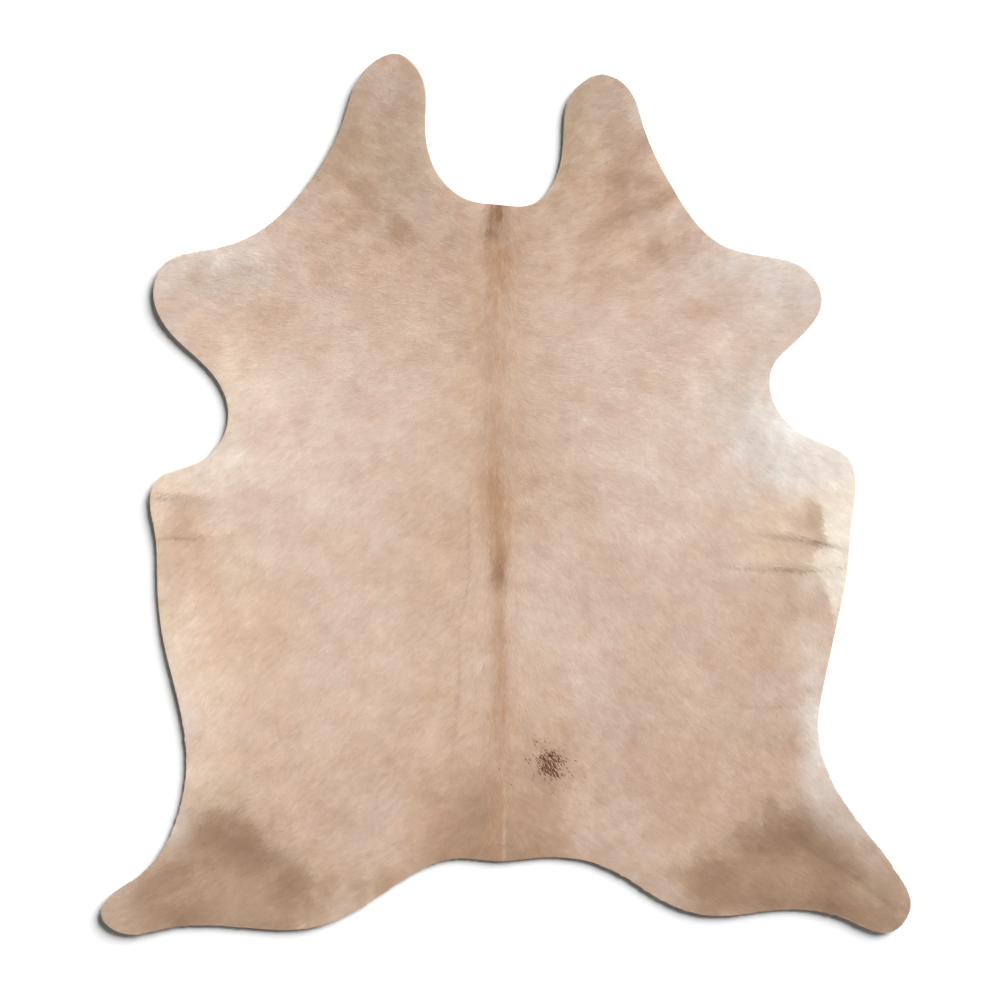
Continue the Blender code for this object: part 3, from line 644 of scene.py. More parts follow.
@dataclass
class HidePlan:
    """Outline of the hide and the ribs that fill it, from the landmarks in STATIONS."""

    rows_by_station: int = 12
    cells_to_rim: int = 50
    spine_crowding: float = 1.25
    spine_pull: float = 1.6
    turn_pull: float = 0.75
    rim_pull: float = 0.25
    most_rim_pull: float = 13.0
    points: Array = field(init=False)
    rim: Array = field(init=False)
    out: Array = field(init=False)

    def __post_init__(self) -> None:
        """Work out the grid of the plan, its rim and the directions out of it."""
        row_count = self.rows_by_station * (len(STATIONS) - 1)
        loop = np.array([s.left for s in STATIONS] + [s.right for s in STATIONS[-2:0:-1]])
        rim = self._closed_spline(loop)
        spine = np.interp(
            np.arange(row_count + 1) / self.rows_by_station,
            np.arange(len(STATIONS)),
            [s.spine for s in STATIONS],
        )
        out = self._outward(rim, row_count)
        left = self._ribs(rim[: row_count + 1], out[: row_count + 1], spine)
        back = np.roll(rim[::-1], 1, axis=0)[: row_count + 1]
        right = self._ribs(back, np.roll(out[::-1], 1, axis=0)[: row_count + 1], spine)
        low, high = rim.min(axis=0), rim.max(axis=0)
        scale = np.array([HIDE_WIDTH, HIDE_LENGTH]) / (high - low)
        plan = np.concatenate([left[:, ::-1], right[:, 1:]], axis=1)
        self.points = (plan - (low + high) / 2) * scale
        self.rim = (rim - (low + high) / 2) * scale
        self.out = out

    def _closed_spline(self, points: Array) -> Array:
        """Smooth closed curve through the landmarks, with as many steps in each span.

        Args:
            points: Landmarks round the rim, in cm.

        Returns:
            Points of the cubic spline whose slope and bend run on through every landmark.
        """
        ahead = np.roll(points, -1, axis=0)
        spans = np.linalg.norm(ahead - points, axis=1)
        before = np.roll(spans, 1)
        index = np.arange(len(points))
        matrix = np.zeros((len(points), len(points)))
        matrix[index, index] = 2.0 * (before + spans)
        matrix[index, index - 1] = spans
        matrix[index, (index + 1) % len(points)] = before
        chord = (ahead - points) / spans[:, None]
        pull = spans[:, None] * np.roll(chord, 1, axis=0) + before[:, None] * chord
        slopes = np.linalg.solve(matrix, 3.0 * pull)
        u = (np.arange(self.rows_by_station) / self.rows_by_station)[None, :, None]
        length = spans[:, None, None]
        curve = self._hermite(
            u,
            points[:, None],
            ahead[:, None],
            length * slopes[:, None],
            length * np.roll(slopes, -1, axis=0)[:, None],
        )
        return curve.reshape(-1, 2)

    @staticmethod
    def _hermite(u: Array, start: Array, end: Array, start_slope: Array, end_slope: Array) -> Array:
        """Cubic curve between two points with given slopes.

        Args:
            u: Fractions of the way.
            start: First points.
            end: Last points.
            start_slope: Slopes at the first points.
            end_slope: Slopes at the last points.

        Returns:
            Points at the fractions of the way.
        """
        return (
            (2 * u**3 - 3 * u**2 + 1) * start
            + (u**3 - 2 * u**2 + u) * start_slope
            + (3 * u**2 - 2 * u**3) * end
            + (u**3 - u**2) * end_slope
        )

    @staticmethod
    def _outward(rim: Array, tail: int) -> Array:
        """Unit vectors out of the hide, square to the rim, and along the spine at its two ends.

        Args:
            rim: Points round the rim, counter-clockwise from the neck notch.
            tail: Which of them is at the tail.

        Returns:
            One vector for each point.
        """
        run = np.roll(rim, -1, axis=0) - np.roll(rim, 1, axis=0)
        square = np.stack([run[:, 1], -run[:, 0]], axis=-1)
        square[0] = (0.0, 1.0)
        square[tail] = (0.0, -1.0)
        return square / np.linalg.norm(square, axis=-1, keepdims=True)

    def _ribs(self, rim: Array, out: Array, spine: Array) -> Array:
        """Ribs from the spine to one side: cubic curves square to the spine and to the rim.

        Args:
            rim: Where the ribs end, in cm.
            out: Unit vectors out of the hide there.
            spine: Where along the spine the ribs start, in cm.

        Returns:
            Rows of points, spine to rim.
        """
        foot = np.stack([np.full_like(spine, SPINE_X / CM), spine], axis=-1)
        length = np.linalg.norm(rim - foot, axis=-1)
        sideways = rim[:, 0] - foot[:, 0]
        steep = np.abs(rim[:, 1] - spine) / length
        pull = self.spine_pull * (1.0 + self.turn_pull * steep)
        start_slope = np.zeros_like(rim)
        start_slope[:, 0] = np.sign(sideways) * pull * np.sqrt(np.abs(sideways) * length)
        end_slope = np.minimum(self.rim_pull * length, self.most_rim_pull)[:, None] * out
        u = np.linspace(0.0, 1.0, self.cells_to_rim + 1)[None, :, None] ** self.spine_crowding
        return self._hermite(
            u, foot[:, None], rim[:, None], start_slope[:, None], end_slope[:, None]
        )


@dataclass
class RimDistance:
    """How far inside the rim a place lies, looked up in a raster of the plan."""

    plan: HidePlan
    cell: float = 0.005
    margin: float = 0.04
    row_block: int = 20
    steps_by_span: int = 4
    origin: Array = field(init=False)
    raster: Array = field(init=False)

    def __post_init__(self) -> None:
        """Fill the raster: the distance to the nearest rim point, less than 0 outside the hide."""
        rim, out = self.plan.rim, self.plan.out
        steps = (np.arange(self.steps_by_span) / self.steps_by_span)[None, :, None]
        fine = (rim[:, None] + (np.roll(rim, -1, axis=0) - rim)[:, None] * steps).reshape(-1, 2)
        turn = (out[:, None] + (np.roll(out, -1, axis=0) - out)[:, None] * steps).reshape(-1, 2)
        self.origin = rim.min(axis=0) - self.margin
        count = np.ceil((rim.max(axis=0) + self.margin - self.origin) / self.cell).astype(int) + 1
        xs = self.origin[0] + self.cell * np.arange(count[0])
        ys = self.origin[1] + self.cell * np.arange(count[1])
        squares = (fine**2).sum(axis=1)
        blocks = []
        for start in range(0, count[1], self.row_block):
            gx, gy = np.meshgrid(xs, ys[start : start + self.row_block])
            place = np.stack([gx.ravel(), gy.ravel()], axis=-1)
            near = (squares[None] - 2.0 * place @ fine.T).argmin(axis=1)
            gap = place - fine[near]
            side = -np.sign((gap * turn[near]).sum(axis=1))
            blocks.append((side * np.linalg.norm(gap, axis=1)).reshape(gx.shape))
        self.raster = np.concatenate(blocks)

    def at(self, x: Array, y: Array) -> Array:
        """Distance inside the rim, blended from the four raster cells round each place.

        Args:
            x: Places along X, in metres.
            y: Places along Y, in metres.

        Returns:
            Metres, less than 0 outside the hide.
        """
        u = (x - self.origin[0]) / self.cell
        v = (y - self.origin[1]) / self.cell
        i = np.clip(np.floor(u).astype(int), 0, self.raster.shape[1] - 2)
        j = np.clip(np.floor(v).astype(int), 0, self.raster.shape[0] - 2)
        u, v = u - i, v - j
        near = self.raster[j, i] * (1 - u) + self.raster[j, i + 1] * u
        far = self.raster[j + 1, i] * (1 - u) + self.raster[j + 1, i + 1] * u
        return near * (1 - v) + far * v


@dataclass(frozen=True)
class Relief:
    """Heights of the hide: its flesh side over the floor, and its skin over that."""

    rim: RimDistance
    rim_lift: float = 0.008
    rim_reach: float = 0.18
    skin: float = 0.0022
    swell: float = 0.0006
    swell_grain: Grain = Grain(16.0, 11, 2)
    ripple: float = 0.0002
    ripple_grain: Grain = Grain(4.5, 12, 1)
    spine_ridge: float = 0.0006
    spine_reach: float = 4.8
    pleat: float = 0.0003
    pleat_reach: float = 16.0
    pleat_grain: Grain = Grain(2.6, 13, 1)
    pleat_stretch: float = 12.0
    crease_waver: float = 7.0

    def flesh_side(self, x: Array, y: Array) -> Array:
        """Height of the flesh side: the rim's rise, its lifts and the creases, added up.

        Args:
            x: Places along X, in metres.
            y: Places along Y, in metres.

        Returns:
            Metres over the floor, nought wherever the hide lies flat.
        """
        rise = self.rim_lift * smooth(1.0 - self.rim.at(x, y) / self.rim_reach)
        lifts = sum(self._lift(lift, x, y) for lift in LIFTS)
        return rise + lifts + sum(self._crease(crease, x, y) for crease in CREASES)

    def top(self, x: Array, y: Array) -> Array:
        """Height of the leather's hair side: the flesh side, the skin and its unevenness.

        Args:
            x: Places along X, in metres.
            y: Places along Y, in metres.

        Returns:
            Metres over the floor.
        """
        across, along = x / CM, y / CM
        off_spine = across - SPINE_X / CM
        uneven = self.swell * self.swell_grain.at(across, along)
        uneven += self.ripple * self.ripple_grain.at(across, along)
        ridge = self.spine_ridge * dome(off_spine / self.spine_reach)
        folds = self.pleat_grain.at(across, along / self.pleat_stretch)
        pleats = self.pleat * folds * dome(off_spine / self.pleat_reach)
        return self.flesh_side(x, y) + self.skin + uneven + ridge + pleats

    @staticmethod
    def _lift(lift: Lift, x: Array, y: Array) -> Array:
        """Height that one lift gives: a dome over its middle, cut off by the rim."""
        return lift.height * dome(
            np.hypot(
                (x - lift.x * CM) / (lift.reach_x * CM), (y - lift.y * CM) / (lift.reach_y * CM)
            )
        )

    def _crease(self, crease: Crease, x: Array, y: Array) -> Array:
        """Height that one crease gives: a ridge that wavers and sinks at both ends."""
        start, end = np.array(crease.start) * CM, np.array(crease.end) * CM
        run = (x - start[0]) / (end[0] - start[0])
        waver = crease.waver * CM * np.sin(self.crease_waver * run)
        middle = start[1] + (end[1] - start[1]) * run + waver
        ridge = dome((y - middle) / (crease.half_width * CM))
        return crease.height * ridge * dome(2.0 * run - 1.0)


@dataclass(frozen=True)
class HairFlow:
    """Which way the hair lies: back along the spine, and out from it to both sides."""

    places: tuple[float, ...] = (-110.0, -85.0, -50.0, -10.0, 20.0, 42.0, 62.0, 110.0)
    angles: tuple[float, ...] = (62.0, 50.0, 40.0, 44.0, 62.0, 88.0, 108.0, 122.0)
    spine_reach: float = 9.0
    sway: float = 16.0
    sway_grain: Grain = Grain(9.0, 21, 3)

    def at(self, x: Array, y: Array) -> tuple[Array, Array]:
        """Direction of the hair: an angle from the way back, by the place along the spine.

        Args:
            x: Places along X, in metres.
            y: Places along Y, in metres.

        Returns:
            The two parts of unit vectors.
        """
        across, along = x / CM, y / CM
        off_spine = across - SPINE_X / CM
        angle = np.interp(along, self.places, self.angles)
        angle = angle * smooth(np.abs(off_spine) / self.spine_reach)
        angle = angle + self.sway * self.sway_grain.at(across, along)
        turn = np.radians(angle)
        return np.where(off_spine < 0, -1.0, 1.0) * np.sin(turn), -np.cos(turn)


@dataclass
class CoatPainting:
    """Colours of the coat: a cloudy beige, broad patches, markings, painted shade along the creases and
    fine streaks.
    """

    flow: HairFlow
    depth: float = 0.46
    cloud: float = 0.62
    cloud_tint: Triple = (0.27, 0.42, 0.53)
    hue: float = 0.030
    hue_tint: Triple = (1.0, 0.1, -1.2)
    streak: float = 0.08
    streak_steps: tuple[float, ...] = (-0.9, -0.45, 0.0, 0.45, 0.9)
    streak_even: float = 3.0
    neck_mottle: float = 0.6
    neck_start: float = 45.0
    neck_fade: float = 22.0
    # Strength of the painted lines: painted shade along the creases, and the pale line
    fold: float = 0.75
    band_broken: float = 0.2
    stripe_broken: float = 0.5
    stripe_stretch: float = 11.0
    mark_search: float = 2.2
    pale_ragged: float = 0.9
    pale_top: float = 20.0
    pale_fade: float = 8.0
    cloud_grain: Grain = Grain(9.0, 31, 5, 0.88)
    hue_grain: Grain = Grain(5.0, 32, 3, 0.8)
    ragged_grain: Grain = Grain(3.6, 34, 4, 0.6)
    ragged: float = 0.42
    warp_grain_x: Grain = Grain(9.0, 35, 2)
    warp_grain_y: Grain = Grain(9.0, 36, 2)
    streak_grain: Grain = Grain(0.75, 37, 2)
    spine_grain: Grain = Grain(0.55, 38, 2)
    warp: float = 2.2

    def at(self, x: Array, y: Array) -> Array:
        """Colour of the coat at places of the plan.

        Args:
            x: Places along X, in metres.
            y: Places along Y, in metres.

        Returns:
            Rows of red, green and blue in linear light.
        """
        across, along = x / CM, y / CM
        colour = self._ground(across, along)
        colour = self._stripe(colour, BACK_MARKS, across, along, self.band_broken)
        for mark in MARKS:
            colour = self._mark(colour, mark, across, along)
        colour = self._pale_edge(colour, across, along)
        colour = self._stripe(colour, SPINE_MARKS, across, along, self.stripe_broken)
        colour = self._cloud(colour, across, along)
        # Painted shade along the creases, and a pale line down to the tail
        for line in CREASE_SHADE_AND_PALE_LINES:
            colour = blend(colour, line.tone, self.fold * painted_line_weight(line, across, along))
        shade = 1.0 + self.streak * self._streaks(x, y)
        return np.clip(colour * shade[:, None], 0.0, 1.0)

    def _ground(self, x: Array, y: Array) -> Array:
        """Ground colour: pale beige moved some way towards a deeper one.

        Args:
            x: Places along X, in cm.
            y: Places along Y, in cm; not used.

        Returns:
            Colours of the ground.
        """
        colour = np.tile(Tone.PALE.linear(), (len(x), 1))
        return blend(colour, Tone.DEEP, np.full(len(x), self.depth))

    def _cloud(self, colour: Array, x: Array, y: Array) -> Array:
        """Mottle the colours: noise darkens blue most and red least, and another shifts the hue.

        Args:
            colour: Colours so far.
            x: Places along X, in cm.
            y: Places along Y, in cm.

        Returns:
            Mottled colours.
        """
        wx = x + self.warp * self.warp_grain_x.at(x, y)
        wy = y + self.warp * self.warp_grain_y.at(x, y)
        dark = self.cloud * self.cloud_grain.at(wx, wy)
        dark *= 1.0 + self.neck_mottle * smooth((y - self.neck_start) / self.neck_fade)
        hue = self.hue * self.hue_grain.at(wx, wy)
        change = dark[:, None] * np.array(self.cloud_tint) + hue[:, None] * np.array(self.hue_tint)
        return colour * np.exp(-change)

    def _mark(self, colour: Array, mark: Mark, x: Array, y: Array) -> Array:
        """Lay one patch over the colours: an ellipse with a ragged soft edge.

        Args:
            colour: Colours so far.
            mark: The patch.
            x: Places along X, in cm.
            y: Places along Y, in cm.

        Returns:
            Colours with the patch.
        """
        reach = self.mark_search * max(mark.reach_x, mark.reach_y)
        near = np.flatnonzero((np.abs(x - mark.x) < reach) & (np.abs(y - mark.y) < reach))
        turn = math.radians(mark.turn)
        dx, dy = x[near] - mark.x, y[near] - mark.y
        u = (dx * math.cos(turn) + dy * math.sin(turn)) / mark.reach_x
        v = (dy * math.cos(turn) - dx * math.sin(turn)) / mark.reach_y
        ragged = self.ragged * self.ragged_grain.at(x[near], y[near])
        weight = mark.strength * smooth(0.5 + (1.0 - np.hypot(u, v) + ragged) / (2.0 * mark.soft))
        painted = colour.copy()
        painted[near] = blend(colour[near], mark.tone, weight)
        return painted

    def _pale_edge(self, colour: Array, x: Array, y: Array) -> Array:
        """Lay the pale strip along the right belly, with its jagged inner side.

        Args:
            colour: Colours so far.
            x: Places along X, in cm.
            y: Places along Y, in cm.

        Returns:
            Colours with the strip.
        """
        rows = sorted(PALE_EDGES, key=lambda row: row.y)
        ys = [row.y for row in rows]
        edge = np.interp(y, ys, [row.x for row in rows])
        soft = np.interp(y, ys, [row.soft for row in rows])
        strength = np.interp(y, ys, [row.strength for row in rows])
        strength = strength * smooth((self.pale_top - y) / self.pale_fade)
        ragged = self.pale_ragged * self.ragged_grain.at(x, y)
        weight = strength * smooth(0.5 + 0.5 * (x - edge + ragged) / soft)
        return blend(colour, Tone.IVORY, weight)

    def _stripe(
        self, colour: Array, marks: tuple[SpineMark, ...], x: Array, y: Array, broken: float
    ) -> Array:
        """Lay a stripe along the spine, broken into fine streaks that run along it.

        Args:
            colour: Colours so far.
            marks: The stripe at some places along the spine.
            x: Places along X, in cm.
            y: Places along Y, in cm.
            broken: How much the streaks weaken and strengthen it.

        Returns:
            Colours with the stripe.
        """
        rows = sorted(marks, key=lambda row: row.y)
        ys = [row.y for row in rows]
        tones = np.array([row.tone.linear() for row in rows])
        middle = np.interp(y, ys, [row.x for row in rows])
        width = np.interp(y, ys, [row.half_width for row in rows])
        strength = np.interp(y, ys, [row.strength for row in rows])
        streak = self.spine_grain.at(x, y / self.stripe_stretch)
        off = (x - middle) / width
        weight = np.clip(strength * np.exp(-(off**2)) * (1.0 + broken * streak), 0.0, 1.0)
        tone = np.stack([np.interp(y, ys, tones[:, channel]) for channel in range(3)], axis=-1)
        return colour * (1 - weight)[:, None] + tone * weight[:, None]

    def _streaks(self, x: Array, y: Array) -> Array:
        """Fine streaks: noise added up over a few steps along the way of the hair, and evened out.

        Args:
            x: Places along X, in metres.
            y: Places along Y, in metres.

        Returns:
            Values about 0.
        """
        along_x, along_y = self.flow.at(x, y)
        total = np.zeros(len(x))
        for step in self.streak_steps:
            total += self.streak_grain.at(x / CM + step * along_x, y / CM + step * along_y)
        return total / self.streak_even


def painted_line_weight(line: PaintedLine, x: Array, y: Array) -> Array:
    """How near places are to the middle of a painted line, times its strength there.

    Args:
        line: The painted line.
        x: Places along X, in cm.
        y: Places along Y, in cm.

    Returns:
        Values from 0 to 1.
    """
    run, off = (x, y) if line.axis is Axis.ACROSS else (y, x)
    stops = np.array(sorted(line.stops))
    middle = np.interp(run, stops[:, 0], stops[:, 1])
    strength = np.interp(run, stops[:, 0], stops[:, 2], left=0.0, right=0.0)
    return strength * np.exp(-(((off - middle) / line.half_width) ** 2))


def blend(colour: Array, tone: Tone, weight: Array) -> Array:
    """Colours moved towards a tone by a weight from 0 to 1."""
    return colour * (1 - weight)[:, None] + tone.linear() * weight[:, None]


def new_mesh(name: str, points: Array, corners: Array, count: int) -> bpy.types.Mesh:
    """Mesh of faces that all have as many corners.

    Args:
        name: The mesh's name.
        points: Rows of x, y and z.
        corners: Point numbers of the faces, one face after another.
        count: Corners of a face.

    Returns:
        The mesh.
    """
    mesh = bpy.data.meshes.new(name)
    mesh.vertices.add(len(points))
    mesh.vertices.foreach_set("co", points.astype(np.float32).ravel())
    mesh.loops.add(corners.size)
    mesh.loops.foreach_set("vertex_index", corners.astype(np.int32).ravel())
    mesh.polygons.add(corners.size // count)
    mesh.polygons.foreach_set("loop_start", np.arange(0, corners.size, count, dtype=np.int32))
    mesh.update(calc_edges=True)
    mesh.validate()
    return mesh


def paint(mesh: bpy.types.Mesh, colours: Array) -> None:
    """Store a colour for each point in the attribute that the materials read.

    Args:
        mesh: The mesh.
        colours: Rows of red, green and blue in linear light.
    """
    layer = mesh.attributes.new(PAINT, "FLOAT_COLOR", "POINT")
    full = np.concatenate([colours, np.ones((len(colours), 1))], axis=1)
    layer.data.foreach_set("color", full.astype(np.float32).ravel())


def place_in_scene(name: str, data: bpy.types.ID) -> bpy.types.Object:
    """Object in the scene that holds a mesh, a lamp or a camera."""
    item = bpy.data.objects.new(name, data)
    bpy.context.collection.objects.link(item)
    return item


def corner_points(mesh: bpy.types.Mesh) -> Array:
    """Point number of each corner of the mesh's faces."""
    corner = np.empty(len(mesh.loops), dtype=np.int32)
    mesh.loops.foreach_get("vertex_index", corner)
    return corner


def store_map(mesh: bpy.types.Mesh, name: str, places: Array) -> None:
    """Store a map on the mesh, with a place for each corner of its faces.

    Args:
        mesh: The mesh.
        name: The map's name.
        places: Rows of two numbers.
    """
    layer = mesh.uv_layers.new(name=name)
    layer.data.foreach_set("uv", places.astype(np.float32).ravel())


def map_flat(mesh: bpy.types.Mesh, places: Array) -> None:
    """Give the mesh a map that spreads the places of its points over the unit square.

    Args:
        mesh: The mesh.
        places: Rows of two numbers for the points, in any unit.
    """
    low, high = places.min(axis=0), places.max(axis=0)
    unit = MAP_MARGIN + MAP_SPAN * (places - low) / (high - low)
    store_map(mesh, BAKE_MAP, unit[corner_points(mesh)])


def map_strands(mesh: bpy.types.Mesh, count: int, widest: float) -> None:
    """Give each lock its own square of a second map: strands run up it, from root to tip.

    Args:
        mesh: The mesh of locks, four points each.
        count: How many locks.
        widest: How far along its length a lock is widest.
    """
    lock = np.array([[0.5, 0.0], [0.0, widest], [1.0, widest], [0.5, 1.0]])
    number = np.arange(count)
    square = [number % STRAND_COLUMNS, number // STRAND_COLUMNS % STRAND_ROWS]
    corner_of_square = STRAND_PITCH * np.stack(square, axis=-1)
    places = (corner_of_square[:, None] + lock[None]).reshape(-1, 2)
    store_map(mesh, STRANDS, places[corner_points(mesh)])


@dataclass(frozen=True)
class Finish:
    """What every finish has: how rough, how glossy and how downy it is."""

    roughness: float
    specular: float
    sheen: float
    sheen_roughness: float

    def dress(self, shader: bpy.types.Node) -> None:
        """Set the shader's roughness, gloss and sheen."""
        shader.inputs["Roughness"].default_value = self.roughness
        shader.inputs["Specular IOR Level"].default_value = self.specular
        shader.inputs["Sheen Weight"].default_value = self.sheen
        shader.inputs["Sheen Roughness"].default_value = self.sheen_roughness


@dataclass(frozen=True)
class HairFinish(Finish):
    """Short smooth hair: the painted colour, varied a little from strand to strand."""

    roughness: float = 0.58
    specular: float = 0.30
    sheen: float = 0.12
    sheen_roughness: float = 0.45
    strands_across: float = 9.0
    strands_along: float = 1.3
    detail: float = 2.0
    strand: float = 0.10
    bump: float = 0.25
    bump_height: float = 0.0002

    def material(self) -> bpy.types.Material:
        """The hair's material."""
        material, shader, tree = principled("coat_hair")
        place = tree.nodes.new("ShaderNodeUVMap")
        place.uv_map = STRANDS
        stretch = tree.nodes.new("ShaderNodeVectorMath")
        stretch.operation = "MULTIPLY"
        stretch.inputs[1].default_value = (self.strands_across, self.strands_along, 1.0)
        tree.links.new(place.outputs["UV"], stretch.inputs[0])
        noise = noise_node(tree, stretch.outputs["Vector"], 1.0, self.detail)
        paint_by_noise(tree, shader, noise, self.strand, self.bump, self.bump_height)
        self.dress(shader)
        return material


@dataclass(frozen=True)
class SkinFinish(Finish):
    """The leather's hair side under the hair: the painted colour with a fine short nap."""

    roughness: float = 0.75
    specular: float = 0.20
    sheen: float = 0.10
    sheen_roughness: float = 0.5
    fleck_scale: float = 420.0
    detail: float = 4.0
    fleck: float = 0.12
    bump: float = 0.35
    bump_height: float = 0.001

    def material(self) -> bpy.types.Material:
        """The hair side's material."""
        material, shader, tree = principled("hair_side")
        place = tree.nodes.new("ShaderNodeTexCoord")
        noise = noise_node(tree, place.outputs["Object"], self.fleck_scale, self.detail)
        paint_by_noise(tree, shader, noise, self.fleck, self.bump, self.bump_height)
        self.dress(shader)
        return material


@dataclass(frozen=True)
class SuedeFinish(Finish):
    """The flesh side: pale napped suede with clouds of lighter and darker nap."""

    roughness: float = 0.92
    specular: float = 0.15
    sheen: float = 0.25
    sheen_roughness: float = 0.6
    cloud_scale: float = 9.0
    cloud_detail: float = 6.0
    cloud_stops: Pair = (0.3, 0.7)
    cloud_shades: Pair = (0.80, 1.06)
    nap_scale: float = 900.0
    nap_detail: float = 3.0
    nap: float = 0.30
    nap_height: float = 0.001

    def material(self) -> bpy.types.Material:
        """The suede's material."""
        material, shader, tree = principled("flesh_suede")
        place = tree.nodes.new("ShaderNodeTexCoord")
        cloud = noise_node(tree, place.outputs["Object"], self.cloud_scale, self.cloud_detail)
        ramp = tree.nodes.new("ShaderNodeValToRGB")
        base = Tone.SUEDE.linear()
        stops = zip(ramp.color_ramp.elements, self.cloud_stops, self.cloud_shades)
        for stop, position, shade in stops:
            stop.position = position
            stop.color = (*(base * shade), 1.0)
        tree.links.new(cloud.outputs["Fac"], ramp.inputs["Fac"])
        tree.links.new(ramp.outputs["Color"], shader.inputs["Base Color"])
        nap = noise_node(tree, place.outputs["Object"], self.nap_scale, self.nap_detail)
        bump_by_noise(tree, shader, nap, self.nap, self.nap_height)
        self.dress(shader)
        return material


def principled(name: str) -> tuple[bpy.types.Material, bpy.types.Node, bpy.types.NodeTree]:
    """New material with its shader and its node tree."""
    material = bpy.data.materials.new(name)
    material.use_nodes = True
    return material, material.node_tree.nodes["Principled BSDF"], material.node_tree


def noise_node(
    tree: bpy.types.NodeTree, place: bpy.types.NodeSocket, scale: float, detail: float
) -> bpy.types.Node:
    """Noise over some coordinates.

    Args:
        tree: The material's nodes.
        place: The socket that gives the coordinates.
        scale: Noise cells in a unit.
        detail: Smaller layers.

    Returns:
        The noise node.
    """
    noise = tree.nodes.new("ShaderNodeTexNoise")
    noise.inputs["Scale"].default_value = scale
    noise.inputs["Detail"].default_value = detail
    tree.links.new(place, noise.inputs["Vector"])
    return noise


def bump_by_noise(
    tree: bpy.types.NodeTree,
    shader: bpy.types.Node,
    noise: bpy.types.Node,
    strength: float,
    height: float,
) -> None:
    """Give a shader a noise as bump.

    Args:
        tree: The material's nodes.
        shader: Its shader.
        noise: The noise node.
        strength: Strength of the bump.
        height: Height of the bump, in metres.
    """
    bump = tree.nodes.new("ShaderNodeBump")
    bump.inputs["Strength"].default_value = strength
    bump.inputs["Distance"].default_value = height
    tree.links.new(noise.outputs["Fac"], bump.inputs["Height"])
    tree.links.new(bump.outputs["Normal"], shader.inputs["Normal"])


def paint_by_noise(
    tree: bpy.types.NodeTree,
    shader: bpy.types.Node,
    noise: bpy.types.Node,
    change: float,
    bump: float,
    height: float,
) -> None:
    """Give a shader the painted colour, times a noise about 1, and the same noise as bump.

    Args:
        tree: The material's nodes.
        shader: Its shader.
        noise: The noise node.
        change: How much the noise darkens and lightens.
        bump: Strength of the bump.
        height: Height of the bump, in metres.
    """
    paint_node = tree.nodes.new("ShaderNodeAttribute")
    paint_node.attribute_name = PAINT
    spread = tree.nodes.new("ShaderNodeMapRange")
    spread.inputs["From Min"].default_value = NOISE_RANGE[0]
    spread.inputs["From Max"].default_value = NOISE_RANGE[1]
    spread.inputs["To Min"].default_value = 1.0 - change
    spread.inputs["To Max"].default_value = 1.0 + change
    tree.links.new(noise.outputs["Fac"], spread.inputs["Value"])
    scale = tree.nodes.new("ShaderNodeVectorMath")
    scale.operation = "SCALE"
    tree.links.new(paint_node.outputs["Color"], scale.inputs[0])
    tree.links.new(spread.outputs["Result"], scale.inputs["Scale"])
    tree.links.new(scale.outputs["Vector"], shader.inputs["Base Color"])
    bump_by_noise(tree, shader, noise, bump, height)


